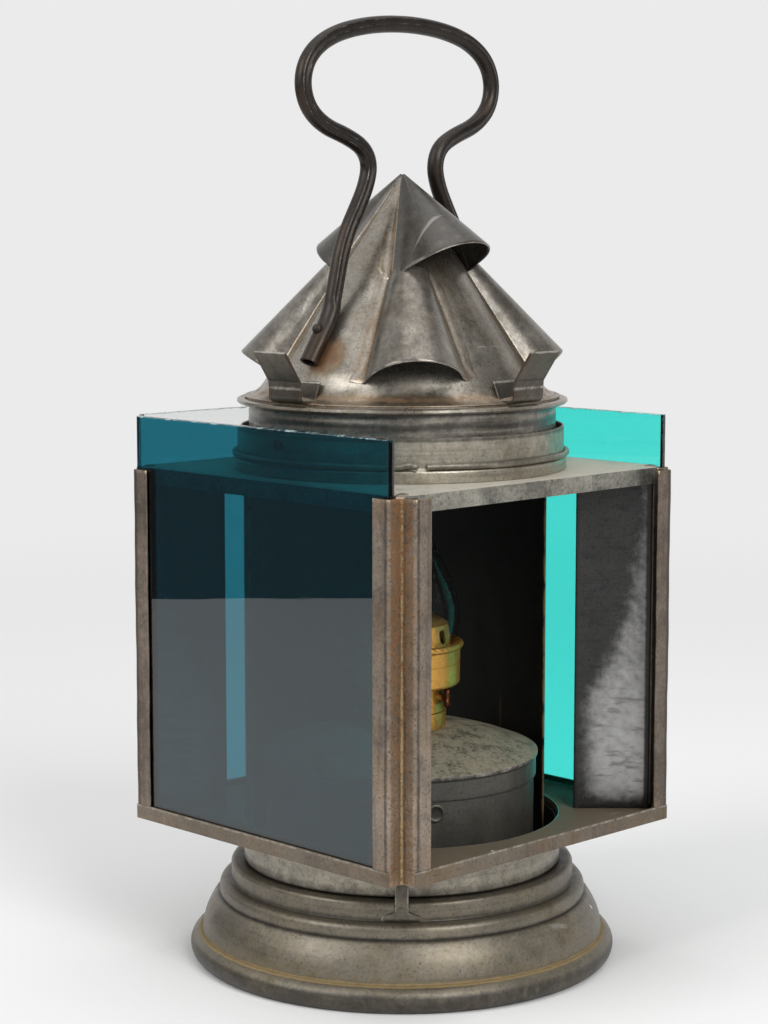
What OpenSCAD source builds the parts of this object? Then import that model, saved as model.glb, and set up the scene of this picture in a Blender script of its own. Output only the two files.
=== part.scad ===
// Railway signal lamp: a square sheet-metal lantern with sliding coloured panes,
// a vented cone roof with a carrying handle, and a spun base that holds the oil font.
// Millimetres, +Z up, origin at the centre of the base's underside.
// The clear pane is on -X, the blue pane on -Y, the green pane on +Y and the open window on +X.

/* [Sheet and clearances] */
// Thickness of the lantern's tinned sheet
sheet = 0.8; // [0.6:0.1:1]
// Thickness of the spun base sheet
base_wall = 1; // [0.8:0.1:1.4]
// Gap between pieces that slide or turn past each other
run_gap = 0.3; // [0.2:0.05:0.5]
// Radial clearance of the burner's screw and the winder's shaft
fit_gap = 0.08; // [0.02:0.01:0.1]

/* [Base] */
// Inner radius of the collar that turns on the base
neck_r = 59; // [56:0.5:61]
// Height of the base up to its shoulder
base_h = 36.7; // [34:0.1:42]
// Width of the flat ledge beside the collar
ledge_w = 4.6; // [3:0.1:6]
// Rounding of the ledge's edge
ledge_round = 1.6; // [1.2:0.1:2.5]
// Height of the crease between the ledge and the moulding
crease_h = 29.4; // [27.5:0.1:31]
// Reach of the moulding beyond the ledge
mould_w = 4.4; // [3:0.1:6]
// Rounding of the moulding
mould_round = 2.8; // [1.5:0.1:3]
// Width of the step below the moulding
step_w = 0.8; // [0.6:0.1:2]
// Height of the step above the floor
step_h = 24; // [20:0.1:25]
// Radius of the bulge's curve
bulge_round = 21.8; // [19:0.1:30]
// Radius of the rolled foot bead
bead_r = 5; // [4:0.1:6]
// Depth that the foot bead is worn flat underneath
bead_flat = 0.4; // [0.2:0.1:0.6]
// Height of the floor that carries the font
floor_h = 20; // [14:0.5:24]
// Height of the ring that centres the font
font_ring_h = 5; // [3:0.5:8]
// Distance of the spigot's top below the tray
spigot_short = 3; // [2:0.5:6]
// Width of the index spring
spring_w = 5.2; // [3:0.1:7]
// Width of the index spring's soldered foot
spring_foot_w = 14; // [10:0.5:18]

/* [Lantern box] */
// Half the width over the corner posts
box_half = 74; // [72:0.5:84]
// Depth of the square notch at each corner
notch = 6.5; // [6:0.1:9]
// Width of the lip that holds a pane from outside
lip_w = 7.4; // [6:0.1:12]
// Width of the leg behind a pane
back_leg_w = 4.5; // [3:0.1:6]
// Height of the tray above the base's shoulder
neck_h = 17.8; // [14:0.1:24]
// Height from the tray to the top plate
box_h = 130.5; // [110:0.5:160]
// Rise of the tray's rail above the tray
rail_up = 2.6; // [1.5:0.1:5]
// Drop of the tray's rail below the tray
rail_down = 2.7; // [1.5:0.1:4]
// Drop of the top plate's lip
top_lip = 6; // [4:0.5:10]
// Corner radius of the top plate
top_round = 8; // [7:0.5:12]
// Room between the collar and a baffle
baffle_room = 5.5; // [3:0.5:9]
// Distance of the baffles below the top plate
baffle_drop = 5; // [2:0.5:12]

/* [Panes] */
// Thickness of the glass
glass_t = 3; // [2:0.1:3.5]
// Height of a pane
pane_h = 149.2; // [130:0.5:170]

/* [Light shield] */
// Angle that the shield covers
shield_sweep = 180; // [150:1:200]
// Direction of the shield's first edge
shield_edge = 63; // [40:1:90]
// Distance of the shield below the top plate
shield_drop = 7; // [4:0.5:20]

/* [Top collar and roof] */
// Outer radius of the top collar
collar_r = 60; // [58:0.5:62]
// Height of the top collar
collar_h = 16; // [12:0.5:22]
// Height of the collar's foot band
band_h = 4.3; // [3:0.1:6]
// Thickness added by the collar's foot band
band_t = 1; // [0.6:0.1:2]
// Radius of the wire round the collar
collar_wire_r = 1.75; // [1:0.05:2.2]
// Place of the roof's rivets, as a share of the collar's height
roof_rivet_share = 0.75; // [0.7:0.01:0.8]
// Reach of the top plate inside the roof's skirt
plate_reach = 1.2; // [1:0.1:3]
// Gap between the collar and the roof's skirt
skirt_gap = 2.2; // [1.5:0.1:3]
// Height of the brim's top above the top plate
brim_h = 26; // [24:0.5:32]
// Reach of the brim beyond the collar
brim_over = 1.4; // [0.8:0.1:4]
// Radius of the brim's rolled edge
brim_roll = 0.9; // [0.8:0.05:1.4]
// Inset of the cone's foot from the skirt
cone_inset = 3.8; // [3:0.1:6]
// Height of the cone's steeper foot
cone_foot_h = 10; // [6:0.5:12]
// Run of the cone's steeper foot
cone_foot_in = 4.9; // [4:0.1:6]
// Height of the cone above the brim
cone_h = 81.7; // [74:0.5:90]
// Turn of the roof relative to the box
roof_twist = 2.2; // [0:0.1:5]

/* [Vent hoods] */
// Length of an upper hood from the roof's tip
upper_len = 43.4; // [38:0.2:48]
// Half angle of an upper hood
upper_half = 25; // [22:0.5:27]
// Angle between an upper hood's axis and the roof's slope
upper_sink = 4.4; // [3:0.1:6]
// Height of an upper hood's tip above the cone's tip
upper_tip = 0.8; // [0.5:0.1:1.5]
// Length of a lower hood from its own tip
lower_len = 72; // [66:0.5:74]
// Half angle of a lower hood
lower_half = 14.4; // [12:0.2:16]
// Angle between a lower hood's axis and the roof's slope
lower_sink = 4.1; // [3:0.1:5]
// Distance of a lower hood's tip down the roof's slope
lower_tip = 16; // [12:0.5:20]
// Turn of the front lower hood out of its corner
front_hood_turn = 3.3; // [0:0.1:5]
// Place of an upper vent, as a share of the hood's length
upper_vent_share = 0.62; // [0.5:0.01:0.7]
// Distance of a lower vent below the upper hoods' rims
lower_vent_drop = 14; // [10:0.5:16]
// Diameter of a vent under an upper hood
upper_vent_d = 10; // [6:0.5:14]
// Diameter of a vent under a lower hood
lower_vent_d = 12; // [6:0.5:16]

/* [Pane clips] */
// Width of a clip's strip
clip_w = 16; // [10:0.5:22]
// Length of the clip's leg on the cone
clip_leg = 8.5; // [6:0.5:10]
// Inner width of the clip's fold
clip_fold = 5; // [2:0.1:6]
// Height of the clip's upright
clip_rise = 7; // [6:0.5:12]
// Height of the clip's flared lip
clip_flare_h = 11; // [6:0.5:12]
// Lean of the clip's upright
clip_lean = 1.6; // [1:0.1:2.4]
// Room between the clip's leg and the cone's foot
clip_seat = 0.4; // [0.3:0.1:0.8]
// Gap between the clip's lip and a raised pane
clip_gap = 1.2; // [0.6:0.1:3]

/* [Handle] */
// Outer diameter of the handle's tube
handle_d = 6.4; // [5:0.1:8]
// Wall of the handle's tube
handle_wall = 1; // [0.7:0.1:1.4]
// Height of the handle's top above the cone's tip
handle_rise = 53.8; // [45:0.1:65]
// Half width of the handle's flat top
crown_half = 35.6; // [25:0.1:40]
// Half width of the loop's outer corner
loop_half = 51.6; // [42:0.1:56]
// Height of the loop's outer corner above the cone's tip
loop_up = 36.4; // [32:0.1:42]
// Half width of the loop's lower corner
loop_low_half = 49.3; // [40:0.1:54]
// Height of the loop's lower corner above the cone's tip
loop_low = 21; // [18:0.1:26]
// Half width of the throat under the loop
throat_half = 26.4; // [22:0.1:32]
// Height of the throat above the cone's tip
throat_up = 13.8; // [10:0.1:18]
// Half width of the handle's waist
waist_half = 14.6; // [13:0.1:18]
// Height of the handle's waist above the cone's tip
waist_up = 2.2; // [0:0.1:6]
// Half width of the handle's bowed leg
leg_half = 30.6; // [28:0.1:34]
// Depth of the leg's upper corner below the cone's tip
leg_down = 22.1; // [18:0.1:26]
// Half width of the leg's lower corner
ankle_half = 34.8; // [33:0.1:38]
// Depth of the leg's lower corner below the cone's tip
ankle_down = 37.5; // [33:0.1:42]
// Lean of the loop to the blue side
loop_lean = 1.2; // [0:0.1:3]
// Depth below the tip where the handle meets the roof
foot_top = 50; // [46:0.5:54]
// Depth below the tip where the handle ends
foot_end = 66.7; // [62:0.5:68]
// Radius of a rivet's shank
rivet_r = 1.2; // [0.8:0.1:1.5]
// Radius of a rivet's head
rivet_head_r = 2; // [1.8:0.1:3]
// Height of a rivet's head
rivet_head_h = 1.2; // [0.8:0.1:2]
// Room under a rivet's inner head, where the sheet curves away
rivet_seat = 0.1; // [0.1:0.05:0.3]

/* [Oil font] */
// Radius of the font's can
font_r = 49.8; // [46:0.2:51]
// Height of the font's lid band above the floor
font_band_low = 48; // [40:0.5:54]
// Height of the font's lid band
font_band_h = 9.7; // [6:0.1:14]
// Reach of the lid's rim beyond its band
lid_over = 0.6; // [0.4:0.1:1]
// Rise of the font's domed lid
font_dome = 8.5; // [5:0.1:12]
// Power of the dome's curve
dome_power = 1.6; // [1.2:0.1:2.4]
// Outer radius of the font's screw neck
font_neck_r = 16.7; // [15.5:0.1:18]
// Wall of the font's screw neck
font_neck_wall = 3.7; // [2.5:0.1:4]
// Height of the font's screw neck
font_neck_h = 6; // [4:0.1:9]
// Radius of the font's soldered plug
plug_r = 3.3; // [2:0.1:5]
// Height that the font's plug stands out
plug_proud = 1.2; // [0.8:0.1:2]
// Direction of the font's plug
plug_angle = -31; // [-60:1:0]

/* [Burner] */
// Radius of the burner's stem
stem_r = 16.4; // [15.5:0.1:17]
// Height of the burner's stem
stem_h = 10; // [10:0.1:14]
// Wall of the burner's stem
stem_wall = 1.2; // [0.8:0.1:1.6]
// Wall of the burner's screw
screw_wall = 2; // [1.5:0.1:2.5]
// Radius of the burner's cup
cup_r = 21.9; // [20.5:0.1:24]
// Height of the burner's cup
cup_h = 11.6; // [8:0.1:15]
// Thickness of the burner's brass sheet
brass_t = 1; // [0.8:0.1:1.2]
// Height of the gallery ring
gallery_h = 4; // [3:0.1:6]
// Reach of the gallery's rim beyond the cup
gallery_over = 1.1; // [0.6:0.1:2]
// Radius of the burner's crown at its foot
crown_r = 18.4; // [17.5:0.1:18.6]
// Taper of the crown's side
crown_taper = 1.1; // [0.6:0.1:1.6]
// Height of the crown's side
crown_h = 7.4; // [6:0.1:9]
// Rise of the crown's dome
crown_dome = 2; // [1:0.1:3]
// Number of air holes round the crown
crown_holes = 8; // [6:1:10]
// Width of the wick
wick_w = 12; // [10:0.5:14]
// Thickness of the wick
wick_t = 3; // [2:0.1:3.4]
// Room round the wick in its tube
wick_room = 0.3; // [0.2:0.05:0.5]
// Wall of the wick tube
wick_tube_wall = 0.7; // [0.5:0.1:1]
// Distance of the wick tube's top below the crown's shoulder
wick_tube_drop = 1.5; // [1:0.1:3]
// Height of the wick above its tube
wick_show = 1.5; // [0.5:0.1:3]
// Height of the wick's end above the base's floor
wick_clear = 14; // [11:0.5:20]
// Gap between the winder's wheels and the wick
wheel_gap = 0.2; // [0.1:0.05:0.3]
// Thickness of a winder's wheel
wheel_t = 2.4; // [1.6:0.1:3]
// Radius of the winder's wheels
wheel_r = 4.3; // [3.6:0.1:4.4]
// Radius of the winder's shaft
shaft_r = 1.25; // [1:0.05:1.5]
// Radius of the winder's knob
knob_r = 3.4; // [2.6:0.1:3.7]
// Thickness of the winder's knob
knob_t = 3.2; // [2:0.1:5]
// Gap between the burner's stem and the winder's knob
knob_gap = 1.2; // [0.6:0.1:2]
// Direction of the winder's knob
winder_angle = 35; // [0:1:90]

/* [Chimney] */
// Outer radius of the chimney's foot
chimney_foot_r = 20.2; // [20:0.1:20.6]
// Outer radius of the chimney's bulge
chimney_bulge_r = 21.8; // [20.8:0.1:23]
// Outer radius of the chimney's tube
chimney_tube_r = 9.8; // [8:0.1:13]
// Wall of the chimney's glass
chimney_wall = 1.2; // [1:0.1:1.4]
// Height of the chimney's widest place above its foot
chimney_bulge_h = 11; // [8:0.5:16]
// Height where the chimney's tube starts
chimney_neck_h = 48; // [36:0.5:54]
// Height of the chimney
chimney_h = 72; // [62:0.5:86]

/* [Hidden] */
$fn = 96;

// The four corners and faces, anticlockwise as seen from above
CORNERS = ["front", "right", "back", "left"];
SIDES = ["window", "green", "clear", "blue"];

// A cut runs this far past the face that it opens
past = 1;

// Sides of the handle's tube, and its rings along each arc
tube_sides = 12;
arc_steps = 6;

// Base radii, worked out from the neck outwards
collar_out = neck_r + sheet;
spigot_r = neck_r - run_gap;
spigot_in = spigot_r - sheet;
mould_in = collar_out + run_gap;
ledge_r = mould_in + ledge_w;
mould_r = ledge_r + mould_w;
bulge_top_r = mould_r + step_w;
bulge_z = 2 * bead_r - bead_flat - base_wall / 2;
bulge_c = bulge_top_r - sqrt(pow(bulge_round, 2) - pow(step_h - bulge_z, 2));
bead_c = bulge_c + bulge_round - base_wall / 2;
bead_z = bead_r - bead_flat;

// Levels
floor_top = floor_h + sheet;
tray_z = base_h + neck_h;
rail_top = tray_z + rail_up;
rail_low = tray_z - rail_down;
top_z = tray_z + box_h;
post_top = top_z - sheet;
spigot_top = tray_z - spigot_short;
brim_z = top_z + brim_h;
flange_z = brim_z + sheet;
tip_z = brim_z + cone_h;

// Corner posts and pane slots
slot_w = glass_t + 2 * run_gap;
web_out = box_half - notch;
web_in = web_out - sheet;
pane_out = box_half - sheet - run_gap;
pane_in = pane_out - glass_t;
leg_out = box_half - sheet - slot_w;
pane_half = web_in - run_gap;
top_lip_half = web_out - back_leg_w - run_gap;
baffle_in = collar_out + baffle_room;
baffle_out = web_in * sqrt(2) - sheet / 2;

// Light shield
shield_r = spigot_in - run_gap / 3;

// Roof
skirt_r = collar_r - sheet - skirt_gap;
skirt_in = skirt_r - sheet;
plate_hole_r = skirt_in - plate_reach;
brim_r = collar_r + brim_over;
cone_foot_r = skirt_r - cone_inset;
knee_r = cone_foot_r - cone_foot_in;
knee_z = flange_z + cone_foot_h;
roof_half = atan(knee_r / (tip_z - knee_z));
foot_half = atan(cone_foot_in / cone_foot_h);
roof_rivet_z = top_z + collar_h * roof_rivet_share;

// Font and burner levels
band_z = floor_top + font_band_low;
lid_z = band_z + font_band_h;
lid_r = font_r + sheet + lid_over;
neck_z = lid_z + font_dome;
font_neck_top = neck_z + font_neck_h;
font_neck_in = font_neck_r - font_neck_wall;
stem_top = font_neck_top + stem_h;
stem_floor = font_neck_top + run_gap;
shaft_z = stem_floor + brass_t + run_gap + wheel_r;
cup_top = stem_top + cup_h;
seat_z = cup_top + gallery_h;
crown_top_r = crown_r - crown_taper;
crown_side_z = seat_z + crown_h;
wick_tube_top = crown_side_z - wick_tube_drop;
wick_top = wick_tube_top + wick_show;
wick_low = floor_top + wick_clear;
shaft_off = wick_t / 2 + wheel_r + wheel_gap;
knob_from = sqrt(pow(stem_r, 2) - pow(shaft_off, 2)) + knob_gap;
slot_half_w = wick_w / 2 + wick_room + wick_tube_wall;
slot_half_t = wick_t / 2 + wick_room + wick_tube_wall;
chimney_z = seat_z + run_gap;

// Colours
tin = [0.42, 0.40, 0.36];
dark_tin = [0.20, 0.19, 0.18];
iron = [0.16, 0.15, 0.14];
brass = [0.72, 0.56, 0.28];
blue_glass = [0.02, 0.25, 0.34, 0.7];
green_glass = [0.20, 0.85, 0.78, 0.6];
clear_glass = [0.85, 0.92, 0.92, 0.3];

// Directions of a corner and of a face: the open window faces +X
function corner_angle(corner) = 90 * search([corner], CORNERS)[0] - 45;
function side_angle(side) = 90 * search([side], SIDES)[0];

// Ring between two radii and two heights
module ring(r_out, r_in, z_low, z_high) {
    translate([0, 0, z_low])
    difference() {
        cylinder(r = r_out, h = z_high - z_low);
        translate([0, 0, -past]) cylinder(r = r_in, h = z_high - z_low + 2 * past);
    }
}

// Flat band of a 2-D circle's wall
module wall_circle(r, wall) {
    difference() {
        circle(r);
        circle(r - wall);
    }
}

// Direction square to the stretch of a path that starts at point i
function across(p, i) = unit([p[i][1] - p[i + 1][1], p[i + 1][0] - p[i][0]]);

// Point beside point i of a path, at a distance h from both stretches that meet there
function beside(p, i, h) =
    let (
        before = across(p, max(i - 1, 0)),
        after = across(p, min(i, len(p) - 2))
    )
    p[i] + h * (before + after) / (1 + before * after);

// Folded strip in the plane, with a sharp crease at each point of its path
module strip_2d(points, t) {
    last = len(points) - 1;
    polygon(concat(
        [for (i = [0 : last]) beside(points, i, t / 2)],
        [for (i = [last : -1 : 0]) beside(points, i, -t / 2)]
    ));
}

// Upright strip drawn in radius and height, of a given width across
module radial_strip(points, t, width) {
    rotate([90, 0, 0])
    linear_extrude(height = width, center = true) strip_2d(points, t);
}

// Rounded square plate
module round_square(half, r) {
    square([2 * half, 2 * (half - r)], center = true);
    square([2 * (half - r), 2 * half], center = true);
    for (x = [-1, 1], y = [-1, 1]) translate([x * (half - r), y * (half - r)]) circle(r);
}

// Round bar through the burner along the winder's axis
module winder_bar(r, from, to) {
    rotate([0, 0, winder_angle])
    translate([from, -shaft_off, shaft_z])
    rotate([0, 90, 0]) cylinder(r = r, h = to - from);
}

// Flat bar along the wick's path
module wick_bar(half_w, half_t, z_low, z_high) {
    rotate([0, 0, winder_angle])
    translate([-half_w, -half_t, z_low]) cube([2 * half_w, 2 * half_t, z_high - z_low]);
}

// Base

// Quarter of a sheet's bend, rounded at its outer side
module bend_2d(r, z, round_r) {
    intersection() {
        translate([r - round_r, z - round_r]) wall_circle(round_r, base_wall);
        translate([r - round_r, z - round_r]) square(round_r + past);
    }
}

// Sheet profile of the base: bead, bulge, step, moulding and ledge
module base_profile() {
    difference() {
        translate([bead_c, bead_z]) wall_circle(bead_r, base_wall);
        translate([bead_c - bead_r, -2 * bead_r]) square(2 * bead_r);
    }
    intersection() {
        translate([bulge_c, bulge_z]) wall_circle(bulge_round, base_wall);
        translate([bulge_c, bulge_z]) square([bulge_round + past, step_h - bulge_z]);
    }
    translate([mould_r - base_wall, step_h - base_wall])
    square([bulge_top_r - mould_r + base_wall, base_wall]);
    translate([mould_r - base_wall, step_h - base_wall])
    square([base_wall, crease_h - mould_round - step_h + base_wall]);
    bend_2d(mould_r, crease_h, mould_round);
    translate([ledge_r - base_wall, crease_h - base_wall])
    square([mould_r - mould_round - ledge_r + base_wall, base_wall]);
    translate([ledge_r - base_wall, crease_h - base_wall])
    square([base_wall, base_h - ledge_round - crease_h + base_wall]);
    bend_2d(ledge_r, base_h, ledge_round);
    translate([spigot_r, base_h - base_wall]) square([ledge_r - ledge_round - spigot_r, base_wall]);
}

module base_shell() {
    color(tin) rotate_extrude() base_profile();
}

module foot_wire() {
    color(iron) rotate_extrude() translate([bead_c, bead_z]) circle(bead_r - base_wall);
}

module base_spigot() {
    color(dark_tin) ring(spigot_r, spigot_in, floor_h, spigot_top);
}

// Floor with the upturned ring that centres the font
module base_floor() {
    ring_in = font_r + run_gap;
    color(dark_tin) {
        translate([0, 0, floor_h]) cylinder(r = spigot_in, h = sheet);
        ring(ring_in + sheet, ring_in, floor_top - sheet / 2, floor_top + font_ring_h);
    }
}

// Spring tongue soldered to the base below the ledge, which rises to click under the tray
module index_spring() {
    foot_r = ledge_r + sheet;
    foot_z = crease_h + run_gap;
    foot_h = base_h - ledge_round - foot_z;
    bow = 1.3;
    tongue = [
        [foot_r, foot_z + foot_h / 2],
        [foot_r, base_h],
        [foot_r + bow, (base_h + tray_z) / 2],
        [foot_r + bow, tray_z - sheet - run_gap - sheet / 2]
    ];
    color(tin) rotate([0, 0, corner_angle("front")]) {
        translate([ledge_r, -spring_foot_w / 2, foot_z]) cube([sheet, spring_foot_w, foot_h]);
        radial_strip(tongue, sheet, spring_w);
    }
}

module light_shield() {
    color(dark_tin)
    rotate([0, 0, shield_edge])
    rotate_extrude(angle = shield_sweep)
    translate([shield_r - sheet, floor_top]) square([sheet, top_z - shield_drop - floor_top]);
}

// Oil font

module font_can() {
    color(dark_tin) {
        ring(font_r, font_r - sheet, floor_top, lid_z - sheet);
        translate([0, 0, floor_top]) cylinder(r = font_r - sheet / 2, h = sheet);
    }
}

// Point on the lid's dome at a share of the way from the neck to a rim of radius r
function dome_point(s, r) =
    [font_neck_r + (r - font_neck_r) * s, lid_z + font_dome * (1 - pow(s, dome_power))];

// Domed lid with a flat seat for the neck and a band that laps the can
module font_lid() {
    steps = 12;
    outer = [for (i = [0 : steps]) dome_point(i / steps, lid_r)];
    inner = [for (i = [steps : -1 : 0]) dome_point(i / steps, font_r) - [0, sheet]];
    color(dark_tin) {
        rotate_extrude() polygon(concat(
            [[font_neck_in, neck_z]],
            outer,
            [[lid_r, lid_z - sheet]],
            inner,
            [[font_neck_in, neck_z - sheet]]
        ));
        ring(font_r + sheet, font_r, band_z, lid_z - sheet / 2);
    }
}

// Screw neck soldered on the lid
module font_neck() {
    color(brass) ring(font_neck_r, font_neck_in, neck_z, font_neck_top);
}

module font_plug() {
    plug_z = band_z - plug_r - sheet;
    color(dark_tin) difference() {
        rotate([0, 0, plug_angle])
        translate([0, 0, plug_z])
        rotate([0, 90, 0]) cylinder(r = plug_r, h = font_r + plug_proud);
        translate([0, 0, floor_top]) cylinder(r = font_r, h = lid_z - floor_top, $fn = 720);
    }
}

// Burner

// Stem with its floor, the screw that enters the font's neck and the winder's bearings
module burner_stem() {
    screw_r = font_neck_in - fit_gap;
    color(brass) difference() {
        union() {
            ring(stem_r, stem_r - stem_wall, stem_floor, stem_top);
            translate([0, 0, stem_floor]) cylinder(r = stem_r - stem_wall / 2, h = brass_t);
            translate([0, 0, neck_z + past]) cylinder(r = screw_r, h = font_neck_h);
        }
        translate([0, 0, neck_z]) cylinder(r = screw_r - screw_wall, h = stem_floor - neck_z);
        wick_bar(slot_half_w, slot_half_t, neck_z, stem_top);
        winder_bar(shaft_r + fit_gap, -stem_r - past, stem_r + past);
    }
}

module burner_cup() {
    round_r = 1.5;
    hole_r = stem_r - 2 * stem_wall;
    groove_h = 0.8;
    groove_deep = brass_t / 3;
    color(brass) rotate_extrude() difference() {
        union() {
            translate([hole_r, stem_top]) square([cup_r - round_r - hole_r, brass_t]);
            translate([cup_r - brass_t, stem_top + round_r]) square([brass_t, cup_h - round_r]);
            intersection() {
                translate([cup_r - round_r, stem_top + round_r]) wall_circle(round_r, brass_t);
                translate([cup_r - round_r, stem_top]) square(round_r);
            }
        }
        translate([cup_r - groove_deep, cup_top - 4 * groove_h]) square([past, groove_h]);
    }
}

// Flared ring with the ledge that the chimney stands on
module gallery_ring() {
    rim_r = cup_r + gallery_over;
    ledge_in = crown_r - brass_t;
    lip_h = 0.8;
    lip_in = chimney_foot_r + lip_h;
    color(brass) rotate_extrude() polygon([
        [ledge_in, seat_z - brass_t],
        [lip_in, seat_z - brass_t],
        [cup_r - brass_t, cup_top],
        [cup_r, cup_top],
        [cup_r, cup_top + brass_t],
        [rim_r, seat_z - brass_t],
        [rim_r, seat_z],
        [rim_r - lip_h, seat_z + lip_h],
        [lip_in, seat_z + lip_h],
        [lip_in, seat_z],
        [ledge_in, seat_z]
    ]);
}

// Domed air cap with its ring of oval holes and the slot for the flame
module burner_crown() {
    hole_r = 1.9;
    hole_half = 0.8;
    hole_z = (seat_z + crown_side_z) / 2 - brass_t / 3;
    shoulder = 2.5;
    shoulder_z = crown_side_z + crown_dome * 0.7;
    dome_top = crown_side_z + crown_dome;
    color(brass) difference() {
        rotate_extrude() polygon([
            [crown_r, seat_z],
            [crown_top_r, crown_side_z],
            [crown_top_r - shoulder, shoulder_z],
            [0, dome_top],
            [0, dome_top - brass_t],
            [crown_top_r - shoulder - brass_t / 2, shoulder_z - brass_t],
            [crown_top_r - brass_t, crown_side_z - brass_t / 2],
            [crown_r - brass_t, seat_z]
        ]);
        for (i = [0 : crown_holes - 1])
            rotate([0, 0, winder_angle + (i + 0.5) * 360 / crown_holes])
            translate([crown_r / 2, 0, hole_z])
            rotate([0, 90, 0])
            linear_extrude(height = crown_r) {
                translate([-hole_half, 0]) circle(hole_r);
                translate([hole_half, 0]) circle(hole_r);
                square([2 * hole_half, 2 * hole_r], center = true);
            }
        wick_bar(slot_half_w + run_gap, slot_half_t + run_gap, crown_side_z - brass_t, dome_top + past);
    }
}

// Flat tube that guides the wick, open on one side for the winder's wheels
module wick_tube() {
    window_h = 2 * (wheel_r + run_gap);
    color(brass) difference() {
        wick_bar(slot_half_w, slot_half_t, neck_z + past, wick_tube_top);
        wick_bar(wick_w / 2 + wick_room, wick_t / 2 + wick_room, neck_z, wick_tube_top + past);
        rotate([0, 0, winder_angle])
        translate([-wick_w / 2, -slot_half_t - past, shaft_z - window_h / 2])
        cube([wick_w, slot_half_t + past - wick_t / 2, window_h]);
    }
}

module wick() {
    color("ivory") wick_bar(wick_w / 2, wick_t / 2, wick_low, wick_top);
}

// Shaft with its two spur wheels
module winder_shaft() {
    color(brass) {
        winder_bar(shaft_r, knob_gap - knob_from, knob_from);
        for (x = [-wick_w / 4, wick_w / 4]) winder_bar(wheel_r, x - wheel_t / 2, x + wheel_t / 2);
    }
}

module winder_knob() {
    color([0.45, 0.25, 0.15]) winder_bar(knob_r, knob_from, knob_from + knob_t);
}

// Outer radius of the chimney at a height above its foot
function chimney_r(h) =
    h < chimney_bulge_h
    ? chimney_bulge_r - (chimney_bulge_r - chimney_foot_r) * pow(1 - h / chimney_bulge_h, 2)
    : h < chimney_neck_h
    ? chimney_tube_r + (chimney_bulge_r - chimney_tube_r)
      * (1 + cos(180 * (h - chimney_bulge_h) / (chimney_neck_h - chimney_bulge_h))) / 2
    : chimney_tube_r;

module chimney() {
    steps = 24;
    curve = [for (i = [0 : steps]) chimney_neck_h * i / steps];
    outer = [for (h = curve) [chimney_r(h), chimney_z + h]];
    inner = [for (i = [steps : -1 : 0]) [chimney_r(curve[i]) - chimney_wall, chimney_z + curve[i]]];
    top = [
        [chimney_tube_r, chimney_z + chimney_h],
        [chimney_tube_r - chimney_wall, chimney_z + chimney_h]
    ];
    color(clear_glass) rotate_extrude() polygon(concat(outer, top, inner));
}

// Lantern box

// One of a post's two channels: outer lip, web and back leg, or only the web below the rail
module channel_2d(below_rail) {
    web_len = box_half - web_in - (below_rail ? sheet : 0);
    translate([web_in, web_in]) square([sheet, web_len]);
    if (!below_rail) {
        translate([web_out - lip_w, box_half - sheet]) square([lip_w, sheet]);
        translate([web_out - back_leg_w, leg_out - sheet]) square([back_leg_w, sheet]);
    }
}

module post_2d(below_rail) {
    channel_2d(below_rail);
    mirror([1, -1, 0]) channel_2d(below_rail);
}

module post(corner) {
    color(tin) rotate([0, 0, corner_angle(corner) - 45]) {
        translate([0, 0, rail_top]) linear_extrude(height = post_top - rail_top) post_2d(false);
        translate([0, 0, rail_low]) linear_extrude(height = rail_top - rail_low) post_2d(true);
    }
}

module post_front() { post("front"); }
module post_right() { post("right"); }
module post_back() { post("back"); }
module post_left() { post("left"); }

// Floor of the box with its four edge rails, cut to let the posts through
module tray() {
    color(tin) difference() {
        union() {
            translate([0, 0, tray_z - sheet]) linear_extrude(height = sheet) {
                square([2 * web_out, 2 * box_half], center = true);
                square([2 * box_half, 2 * web_out], center = true);
            }
            for (side = [0 : 90 : 270]) rotate([0, 0, side])
            translate([box_half - sheet, -web_out, rail_low])
            cube([sheet, 2 * web_out, rail_top - rail_low]);
        }
        translate([0, 0, tray_z - 2 * sheet]) cylinder(r = collar_out, h = 3 * sheet);
        for (side = [0 : 90 : 270]) rotate([0, 0, side])
            translate([0, 0, rail_low]) linear_extrude(height = rail_top - rail_low) post_2d(true);
    }
}

module lower_collar() {
    color(tin) ring(collar_out, neck_r, base_h + run_gap, tray_z);
}

// Sheet that parts one window from the next
module baffle(corner) {
    color(dark_tin) rotate([0, 0, corner_angle(corner)])
    translate([baffle_in, -sheet / 2, tray_z])
    cube([baffle_out - baffle_in, sheet, top_z - baffle_drop - tray_z]);
}

module baffle_front() { baffle("front"); }
module baffle_right() { baffle("right"); }
module baffle_back() { baffle("back"); }
module baffle_left() { baffle("left"); }

// Top plate with its turned-down lips
module top_plate() {
    color(tin) {
        difference() {
            translate([0, 0, post_top]) linear_extrude(height = sheet) round_square(leg_out, top_round);
            translate([0, 0, post_top - past]) cylinder(r = plate_hole_r, h = sheet + 2 * past);
        }
        for (side = [0 : 90 : 270]) rotate([0, 0, side])
            translate([leg_out - sheet, -top_lip_half, top_z - top_lip])
            cube([sheet, 2 * top_lip_half, top_lip - sheet / 2]);
    }
}

// Panes

// Glass pane that slides up between two posts, standing on the tray
module pane(side, tint) {
    color(tint) rotate([0, 0, side_angle(side)])
    translate([pane_in, -pane_half, tray_z + run_gap]) cube([glass_t, 2 * pane_half, pane_h]);
}

module pane_blue() { pane("blue", blue_glass); }
module pane_green() { pane("green", green_glass); }
module pane_clear() { pane("clear", clear_glass); }

// Top collar and roof

// Rivets through the collar and the skirt, as pins of a given radius
module roof_rivet_pins(r, from, to) {
    for (side = ["green", "blue"])
        rotate([0, 0, side_angle(side)])
        translate([from, 0, roof_rivet_z])
        rotate([0, 90, 0]) cylinder(r = r, h = to - from);
}

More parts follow.
